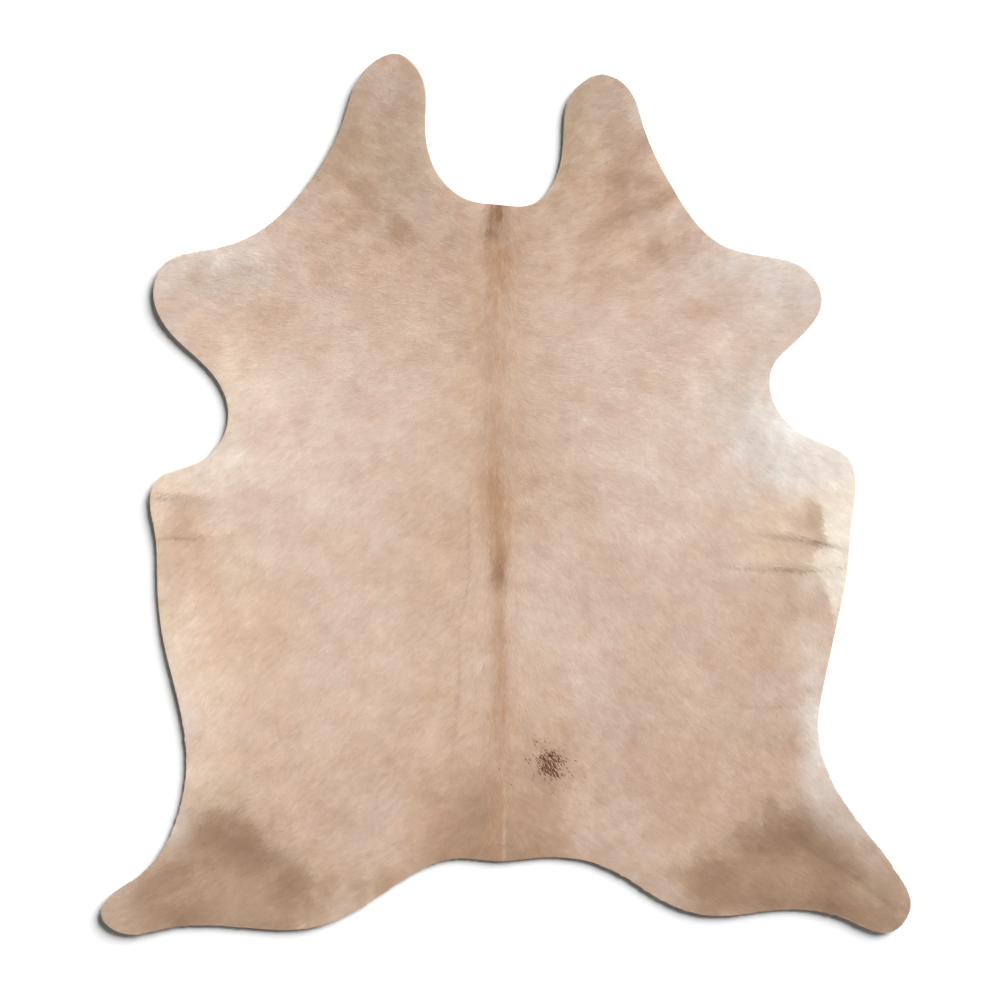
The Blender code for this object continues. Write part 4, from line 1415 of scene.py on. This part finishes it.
@dataclass
class Leather:
    """The tanned skin: hair side, cut edge and flesh side as one closed sheet."""

    plan: HidePlan
    relief: Relief
    painting: CoatPainting
    edge_rings: int = 3
    edge_bulge: float = 0.0008
    # The hair side is painted darker than the coat over it: painted shade under the hair
    painted_shade_under_hair: float = 0.86
    hair_side_map: Pair = (0.005, 0.69)
    flesh_side_map: Pair = (0.71, 0.285)

    def build(self) -> bpy.types.Object:
        """Build the sheet: the rib grid twice, joined by a rounded edge round the rim.

        Returns:
            The sheet.
        """
        grid, rim = self._numbers()
        plan = self.plan.points.reshape(-1, 2)
        used = np.unique(grid)
        renumber = np.full(len(plan), -1)
        renumber[used] = np.arange(len(used))
        grid, rim = renumber[grid], renumber[rim]
        plan = plan[used]
        x, y = plan[:, 0], plan[:, 1]
        top = np.column_stack([plan, self.relief.top(x, y)])
        under = np.column_stack([plan, self.relief.flesh_side(x, y)])
        rings = self._edge(top[rim], under[rim])
        points = np.concatenate([top, under, rings.reshape(-1, 3)])
        corners, is_coat = self._faces(grid, rim, len(top))
        mesh = new_mesh("leather", points, corners, 4)
        # Painted shade under the hair: the hair side is darker than the coat
        colours = self.painting.at(points[:, 0], points[:, 1]) * self.painted_shade_under_hair
        paint(mesh, colours)
        mesh.materials.append(SkinFinish().material())
        mesh.materials.append(SuedeFinish().material())
        mesh.polygons.foreach_set("material_index", np.where(is_coat, 0, 1).astype(np.int32))
        mesh.shade_smooth()
        self._map(mesh, points)
        return place_in_scene("leather", mesh)

    def _numbers(self) -> tuple[Array, Array]:
        """Point numbers of the grid, with the folded end rows shared, and of the rim.

        Returns:
            The grid of numbers, and the numbers round the rim, counter-clockwise.
        """
        rows, columns = self.plan.points.shape[:2]
        middle = self.plan.cells_to_rim
        grid = np.arange(rows * columns).reshape(rows, columns)
        for end in (0, rows - 1):
            grid[end, middle + 1 :] = grid[end, :middle][::-1]
        return grid, np.concatenate([grid[:-1, 0], grid[:0:-1, -1]])

    def _edge(self, top: Array, under: Array) -> Array:
        """Rings of the cut edge: from the top rim to the lower one, bulging out a little.

        Args:
            top: Points of the upper rim.
            under: Points of the lower rim.

        Returns:
            The rings between them.
        """
        out = np.column_stack([self.plan.out, np.zeros(len(top))])
        share = (np.arange(1, self.edge_rings + 1) / (self.edge_rings + 1))[:, None, None]
        bulge = self.edge_bulge * np.sin(math.pi * share)
        return top[None] * (1 - share) + under[None] * share + bulge * out[None]

    def _faces(self, grid: Array, rim: Array, count: int) -> tuple[Array, Array]:
        """Corners of the hair side, the flesh side and the edge, all facing outwards.

        Args:
            grid: Point numbers of the grid.
            rim: Point numbers round the rim.
            count: Points of one side.

        Returns:
            The corners, and for each face whether it is on the hair side.
        """
        upper = np.stack([grid[1:, :-1], grid[1:, 1:], grid[:-1, 1:], grid[:-1, :-1]], axis=-1)
        upper = upper.reshape(-1, 4)
        lower = upper[:, ::-1] + count
        first = 2 * count
        rings = first + np.arange(self.edge_rings * len(rim)).reshape(self.edge_rings, len(rim))
        bands = np.concatenate([rim[None], rings, rim[None] + count])
        after = np.roll(bands, -1, axis=1)
        wall = np.stack([bands[:-1], bands[1:], after[1:], after[:-1]], axis=-1).reshape(-1, 4)
        corners = np.concatenate([upper, lower, wall])
        is_coat = np.arange(len(corners)) < len(upper)
        return corners, is_coat

    def _map(self, mesh: bpy.types.Mesh, points: Array) -> None:
        """Map the hair side over most of the square and the rest over a strip beside it.

        Args:
            mesh: The sheet's mesh.
            points: Its points.
        """
        low, high = points[:, :2].min(axis=0), points[:, :2].max(axis=0)
        flat = (points[:, :2] - low) / (high - low)
        side = np.empty(len(mesh.polygons), dtype=np.int32)
        mesh.polygons.foreach_get("material_index", side)
        under = np.repeat(side, 4) == 1
        place = flat[corner_points(mesh)]
        start = np.where(under, self.flesh_side_map[0], self.hair_side_map[0])
        span = np.where(under, self.flesh_side_map[1], self.hair_side_map[1])
        place[:, 0] = start + span * place[:, 0]
        place[:, 1] = MAP_MARGIN + MAP_SPAN * place[:, 1]
        store_map(mesh, BAKE_MAP, place)


@dataclass
class Coat:
    """The hair: short flat locks that lie over each other along the way of the hair."""

    rim: RimDistance
    relief: Relief
    flow: HairFlow
    painting: CoatPainting
    spacing: float = 0.00391
    scatter: float = 0.9
    length: Pair = (0.018, 0.027)
    width: Pair = (0.0034, 0.0050)
    overhang: Pair = (0.0002, 0.0030)
    stray: float = 9.0
    root_depth: float = 0.0001
    tip_height: Pair = (0.0002, 0.0004)
    widest: float = 0.45
    crown: float = 0.00005
    rim_gap: float = 0.0012
    draw_steps: int = 3
    # Colour factors for root, sides and tip of each lock: the darker root is painted shade where it lies
    # under the other locks
    shade: tuple[float, float, float, float] = (0.80, 0.85, 0.85, 0.87)
    jitter: float = 0.03
    freckles: Pair = (10.1, -67.3)
    freckle_reach: float = 3.5
    freckle_ragged: float = 0.7
    freckle_grain: Grain = Grain(1.6, 51, 2)
    freckle_specks: float = 0.08
    speck_reach: float = 1.8
    freckle_size: float = 0.62
    freckle_shade: Pair = (0.45, 1.3)
    seed: int = 5

    def build(self) -> list[bpy.types.Object]:
        """Build the locks in four pieces, neck to rump.

        Returns:
            The pieces.
        """
        rng = np.random.default_rng(self.seed)
        root = self._roots(rng)
        points, colours = self._locks(root, rng)
        finish = HairFinish().material()
        names = ("coat_neck", "coat_shoulders", "coat_belly", "coat_rump")
        parts = np.array_split(np.argsort(-root[:, 1], kind="stable"), len(names))
        return [
            self._piece(name, points[part], colours[part], finish)
            for name, part in zip(names, parts)
        ]

    def _roots(self, rng: np.random.Generator) -> Array:
        """Roots: one at a random place in each cell of a square grid, where that is on the hide.

        Args:
            rng: Source of random numbers.

        Returns:
            Rows of x and y in metres.
        """
        low = self.rim.plan.rim.min(axis=0)
        high = self.rim.plan.rim.max(axis=0)
        count = np.ceil((high - low) / self.spacing).astype(int)
        i, j = np.meshgrid(np.arange(count[0]), np.arange(count[1]))
        cell = np.stack([i.ravel(), j.ravel()], axis=-1)
        root = low + (cell + 0.5 + self.scatter * (rng.random(cell.shape) - 0.5)) * self.spacing
        return root[self.rim.at(root[:, 0], root[:, 1]) > self.rim_gap]

    def _locks(self, root: Array, rng: np.random.Generator) -> tuple[Array, Array]:
        """Points and colours of the locks: root, two sides and tip of a thin pyramid.

        The root sinks into the skin and the tip stands over it. The sides lie a crown's height under
        the line from root to tip, and follow the skin's slope across the lock, so each lock is closed
        and faces outwards wherever it lies.

        Args:
            root: Rows of x and y in metres.
            rng: Source of random numbers.

        Returns:
            Four points and four colours for each lock.
        """
        count = len(root)
        x, y = root[:, 0], root[:, 1]
        way_x, way_y = self.flow.at(x, y)
        turn = np.radians(self.stray) * rng.standard_normal(count)
        way_x, way_y = (
            way_x * np.cos(turn) - way_y * np.sin(turn),
            way_x * np.sin(turn) + way_y * np.cos(turn),
        )
        dark = self._freckled(x, y, rng)
        length = rng.uniform(*self.length, count) * np.where(dark, self.freckle_size, 1.0)
        width = rng.uniform(*self.width, count) * np.where(dark, self.freckle_size, 1.0)
        back = self._drawn_back(x, y, way_x, way_y, length, rng.uniform(*self.overhang, count))
        x, y = x - way_x * back, y - way_y * back
        half = 0.5 * width
        middle_x, middle_y = x + way_x * self.widest * length, y + way_y * self.widest * length
        plan = np.stack(
            [
                np.stack([x, y], axis=-1),
                np.stack([middle_x - way_y * half, middle_y + way_x * half], axis=-1),
                np.stack([middle_x + way_y * half, middle_y - way_x * half], axis=-1),
                np.stack([x + way_x * length, y + way_y * length], axis=-1),
            ],
            axis=1,
        )
        height = self.relief.top(plan[..., 0].ravel(), plan[..., 1].ravel()).reshape(count, 4)
        tilt = 0.5 * (height[:, 1] - height[:, 2])
        root_height = height[:, 0] - self.root_depth
        tip_height = height[:, 3] + rng.uniform(*self.tip_height, count)
        side = root_height + self.widest * (tip_height - root_height) - self.crown
        height = np.stack([root_height, side + tilt, side - tilt, tip_height], axis=-1)
        points = np.concatenate([plan, height[..., None]], axis=-1)
        colour = self._lock_colours(x, y, dark, rng)
        # Painted shade: each lock's root is darker than its tip
        shade = np.array(self.shade)
        return points, np.clip(colour[:, None] * shade[None, :, None], 0.0, 1.0)

    def _drawn_back(
        self, x: Array, y: Array, way_x: Array, way_y: Array, length: Array, overhang: Array
    ) -> Array:
        """How far back a lock's root moves so that its tip stays near the rim.

        Args:
            x: Roots along X, in metres.
            y: Roots along Y, in metres.
            way_x: Directions along X.
            way_y: Directions along Y.
            length: Lengths of the locks.
            overhang: How far each tip may pass the rim.

        Returns:
            Distances in metres.
        """
        back = np.zeros(len(x))
        for _ in range(self.draw_steps):
            reach = length - back
            inside = self.rim.at(x + way_x * reach, y + way_y * reach)
            back += np.clip(-inside - overhang, 0.0, None)
        return back

    def _freckled(self, x: Array, y: Array, rng: np.random.Generator) -> Array:
        """Which locks are dark: most in the middle of the patch, and few past its ragged edge.

        Args:
            x: Roots along X, in metres.
            y: Roots along Y, in metres.
            rng: Source of random numbers.

        Returns:
            True for each dark lock.
        """
        off = np.hypot(x / CM - self.freckles[0], y / CM - self.freckles[1])
        ragged = 1.0 + self.freckle_ragged * self.freckle_grain.at(x / CM, y / CM)
        core = np.exp(-((off * ragged / self.freckle_reach) ** 4))
        speckled = off / (self.speck_reach * self.freckle_reach)
        specks = self.freckle_specks * np.exp(-(speckled**2))
        return rng.random(len(x)) < core + specks

    def _lock_colours(self, x: Array, y: Array, dark: Array, rng: np.random.Generator) -> Array:
        """Colours of the locks: the painting at the root, lighter or darker from lock to lock.

        Args:
            x: Roots along X, in metres.
            y: Roots along Y, in metres.
            dark: True for each lock of the freckled patch.
            rng: Source of random numbers.

        Returns:
            Rows of red, green and blue in linear light.
        """
        lightness = 1.0 + self.jitter * rng.standard_normal(len(x))
        colour = self.painting.at(x, y) * lightness[:, None]
        freckle = Tone.FRECKLE.linear() * rng.uniform(*self.freckle_shade, (len(x), 1))
        return np.where(dark[:, None], freckle, colour)

    def _piece(
        self, name: str, points: Array, colours: Array, finish: bpy.types.Material
    ) -> bpy.types.Object:
        """One piece of locks, each closed by its four faces.

        Args:
            name: The piece's name.
            points: Four points for each lock.
            colours: Four colours for each lock.
            finish: Its material.

        Returns:
            The piece.
        """
        root, left, right, tip = range(4)
        faces = np.array(
            [[root, tip, left], [root, right, tip], [root, left, right], [left, tip, right]]
        )
        first = 4 * np.arange(len(points))[:, None, None]
        mesh = new_mesh(name, points.reshape(-1, 3), first + faces[None], 3)
        mesh.shade_flat()
        paint(mesh, colours.reshape(-1, 3))
        map_flat(mesh, points.reshape(-1, 3)[:, :2])
        map_strands(mesh, len(points), self.widest)
        mesh.materials.append(finish)
        return place_in_scene(name, mesh)


@dataclass(frozen=True)
class Studio:
    """Pale floor, soft light from the upper right, and a camera straight above."""

    lens: float = 85.0
    sensor: float = 36.0
    frame_width: float = 2.506
    look_at: Pair = (-0.0150, -0.0145)
    floor_reach: float = 60.0
    floor_drop: float = 0.0002
    floor_albedo: float = 0.98
    floor_roughness: float = 0.9
    floor_specular: float = 0.1
    ambient: float = 0.08
    backdrop: float = 1.0
    backdrop_top: float = 0.12
    key: float = 8.1
    key_softness: float = 46.0
    key_azimuth: float = 43.0
    key_elevation: float = 25.0
    fill: float = 3.85
    fill_softness: float = 24.0
    fill_elevation: float = 4.0

    def build(self, pieces: list[bpy.types.Object]) -> None:
        """Set up the floor, the lights, the camera and plain colour handling.

        Args:
            pieces: The hide's pieces, which alone the fill light reaches.
        """
        self._floor()
        self._surroundings()
        self._sun("key", self.key, self.key_softness, self.key_azimuth, self.key_elevation)
        fill = self._sun(
            "fill", self.fill, self.fill_softness, self.key_azimuth + 180.0, self.fill_elevation
        )
        fill.data.use_shadow = False
        reached = bpy.data.collections.new("reached_by_fill")
        for piece in pieces:
            reached.objects.link(piece)
        fill.light_linking.receiver_collection = reached
        self._camera()
        bpy.context.scene.view_settings.view_transform = "Standard"

    def _floor(self) -> None:
        """Wide matt floor just under the hide."""
        half = self.floor_reach / 2
        points = [(-half, -half), (half, -half), (half, half), (-half, half)]
        mesh = bpy.data.meshes.new("floor")
        mesh.from_pydata([(x, y, -self.floor_drop) for x, y in points], [], [(0, 1, 2, 3)])
        material, shader, _ = principled("pale_floor")
        shader.inputs["Base Color"].default_value = (*(self.floor_albedo,) * 3, 1.0)
        shader.inputs["Roughness"].default_value = self.floor_roughness
        shader.inputs["Specular IOR Level"].default_value = self.floor_specular
        mesh.materials.append(material)
        place_in_scene("floor", mesh)

    def _surroundings(self) -> None:
        """Even dim light from above, and a pale backdrop low down all round."""
        world = bpy.data.worlds.new("studio")
        world.use_nodes = True
        tree = world.node_tree
        sky = tree.nodes["Background"]
        sky.inputs["Color"].default_value = (1.0, 1.0, 1.0, 1.0)
        way = tree.nodes.new("ShaderNodeTexCoord")
        parts = tree.nodes.new("ShaderNodeSeparateXYZ")
        fade = tree.nodes.new("ShaderNodeMapRange")
        fade.inputs["From Max"].default_value = self.backdrop_top
        fade.inputs["To Min"].default_value = self.backdrop
        fade.inputs["To Max"].default_value = self.ambient
        tree.links.new(way.outputs["Generated"], parts.inputs["Vector"])
        tree.links.new(parts.outputs["Z"], fade.inputs["Value"])
        tree.links.new(fade.outputs["Result"], sky.inputs["Strength"])
        bpy.context.scene.world = world

    @staticmethod
    def _sun(
        name: str, energy: float, softness: float, azimuth: float, elevation: float
    ) -> bpy.types.Object:
        """A sun lamp.

        Args:
            name: Its name.
            energy: Its strength.
            softness: Its width in the sky, in degrees.
            azimuth: Where it stands, in degrees from +X towards +Y.
            elevation: How high it stands, in degrees.

        Returns:
            The lamp.
        """
        lamp = bpy.data.lights.new(name, "SUN")
        lamp.energy = energy
        lamp.angle = math.radians(softness)
        turn, rise = math.radians(azimuth), math.radians(elevation)
        way = Vector(
            (-math.cos(turn) * math.cos(rise), -math.sin(turn) * math.cos(rise), -math.sin(rise))
        )
        sun = place_in_scene(name, lamp)
        sun.rotation_mode = "QUATERNION"
        sun.rotation_quaternion = way.to_track_quat("-Z", "Y")
        return sun

    def _camera(self) -> None:
        """Camera straight above, as far off as the photograph's frame needs."""
        view = bpy.data.cameras.new("camera")
        view.lens = self.lens
        view.sensor_width = self.sensor
        camera = place_in_scene("camera", view)
        camera.location = (*self.look_at, self.frame_width * self.lens / self.sensor)
        bpy.context.scene.camera = camera


def main() -> None:
    logging.basicConfig(level=logging.INFO, format="%(message)s")
    plan = HidePlan()
    rim = RimDistance(plan)
    relief = Relief(rim)
    flow = HairFlow()
    painting = CoatPainting(flow)

    leather = Leather(plan, relief, painting).build()
    LOG.info("%s: %d faces", leather.name, len(leather.data.polygons))
    coat = Coat(rim, relief, flow, painting).build()
    for piece in coat:
        LOG.info("%s: %d faces", piece.name, len(piece.data.polygons))

    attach(leather, "root")
    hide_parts("hide")
    for piece in coat:
        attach(piece, "root")
    Studio().build([leather, *coat])


if __name__ == "__main__":
    main()
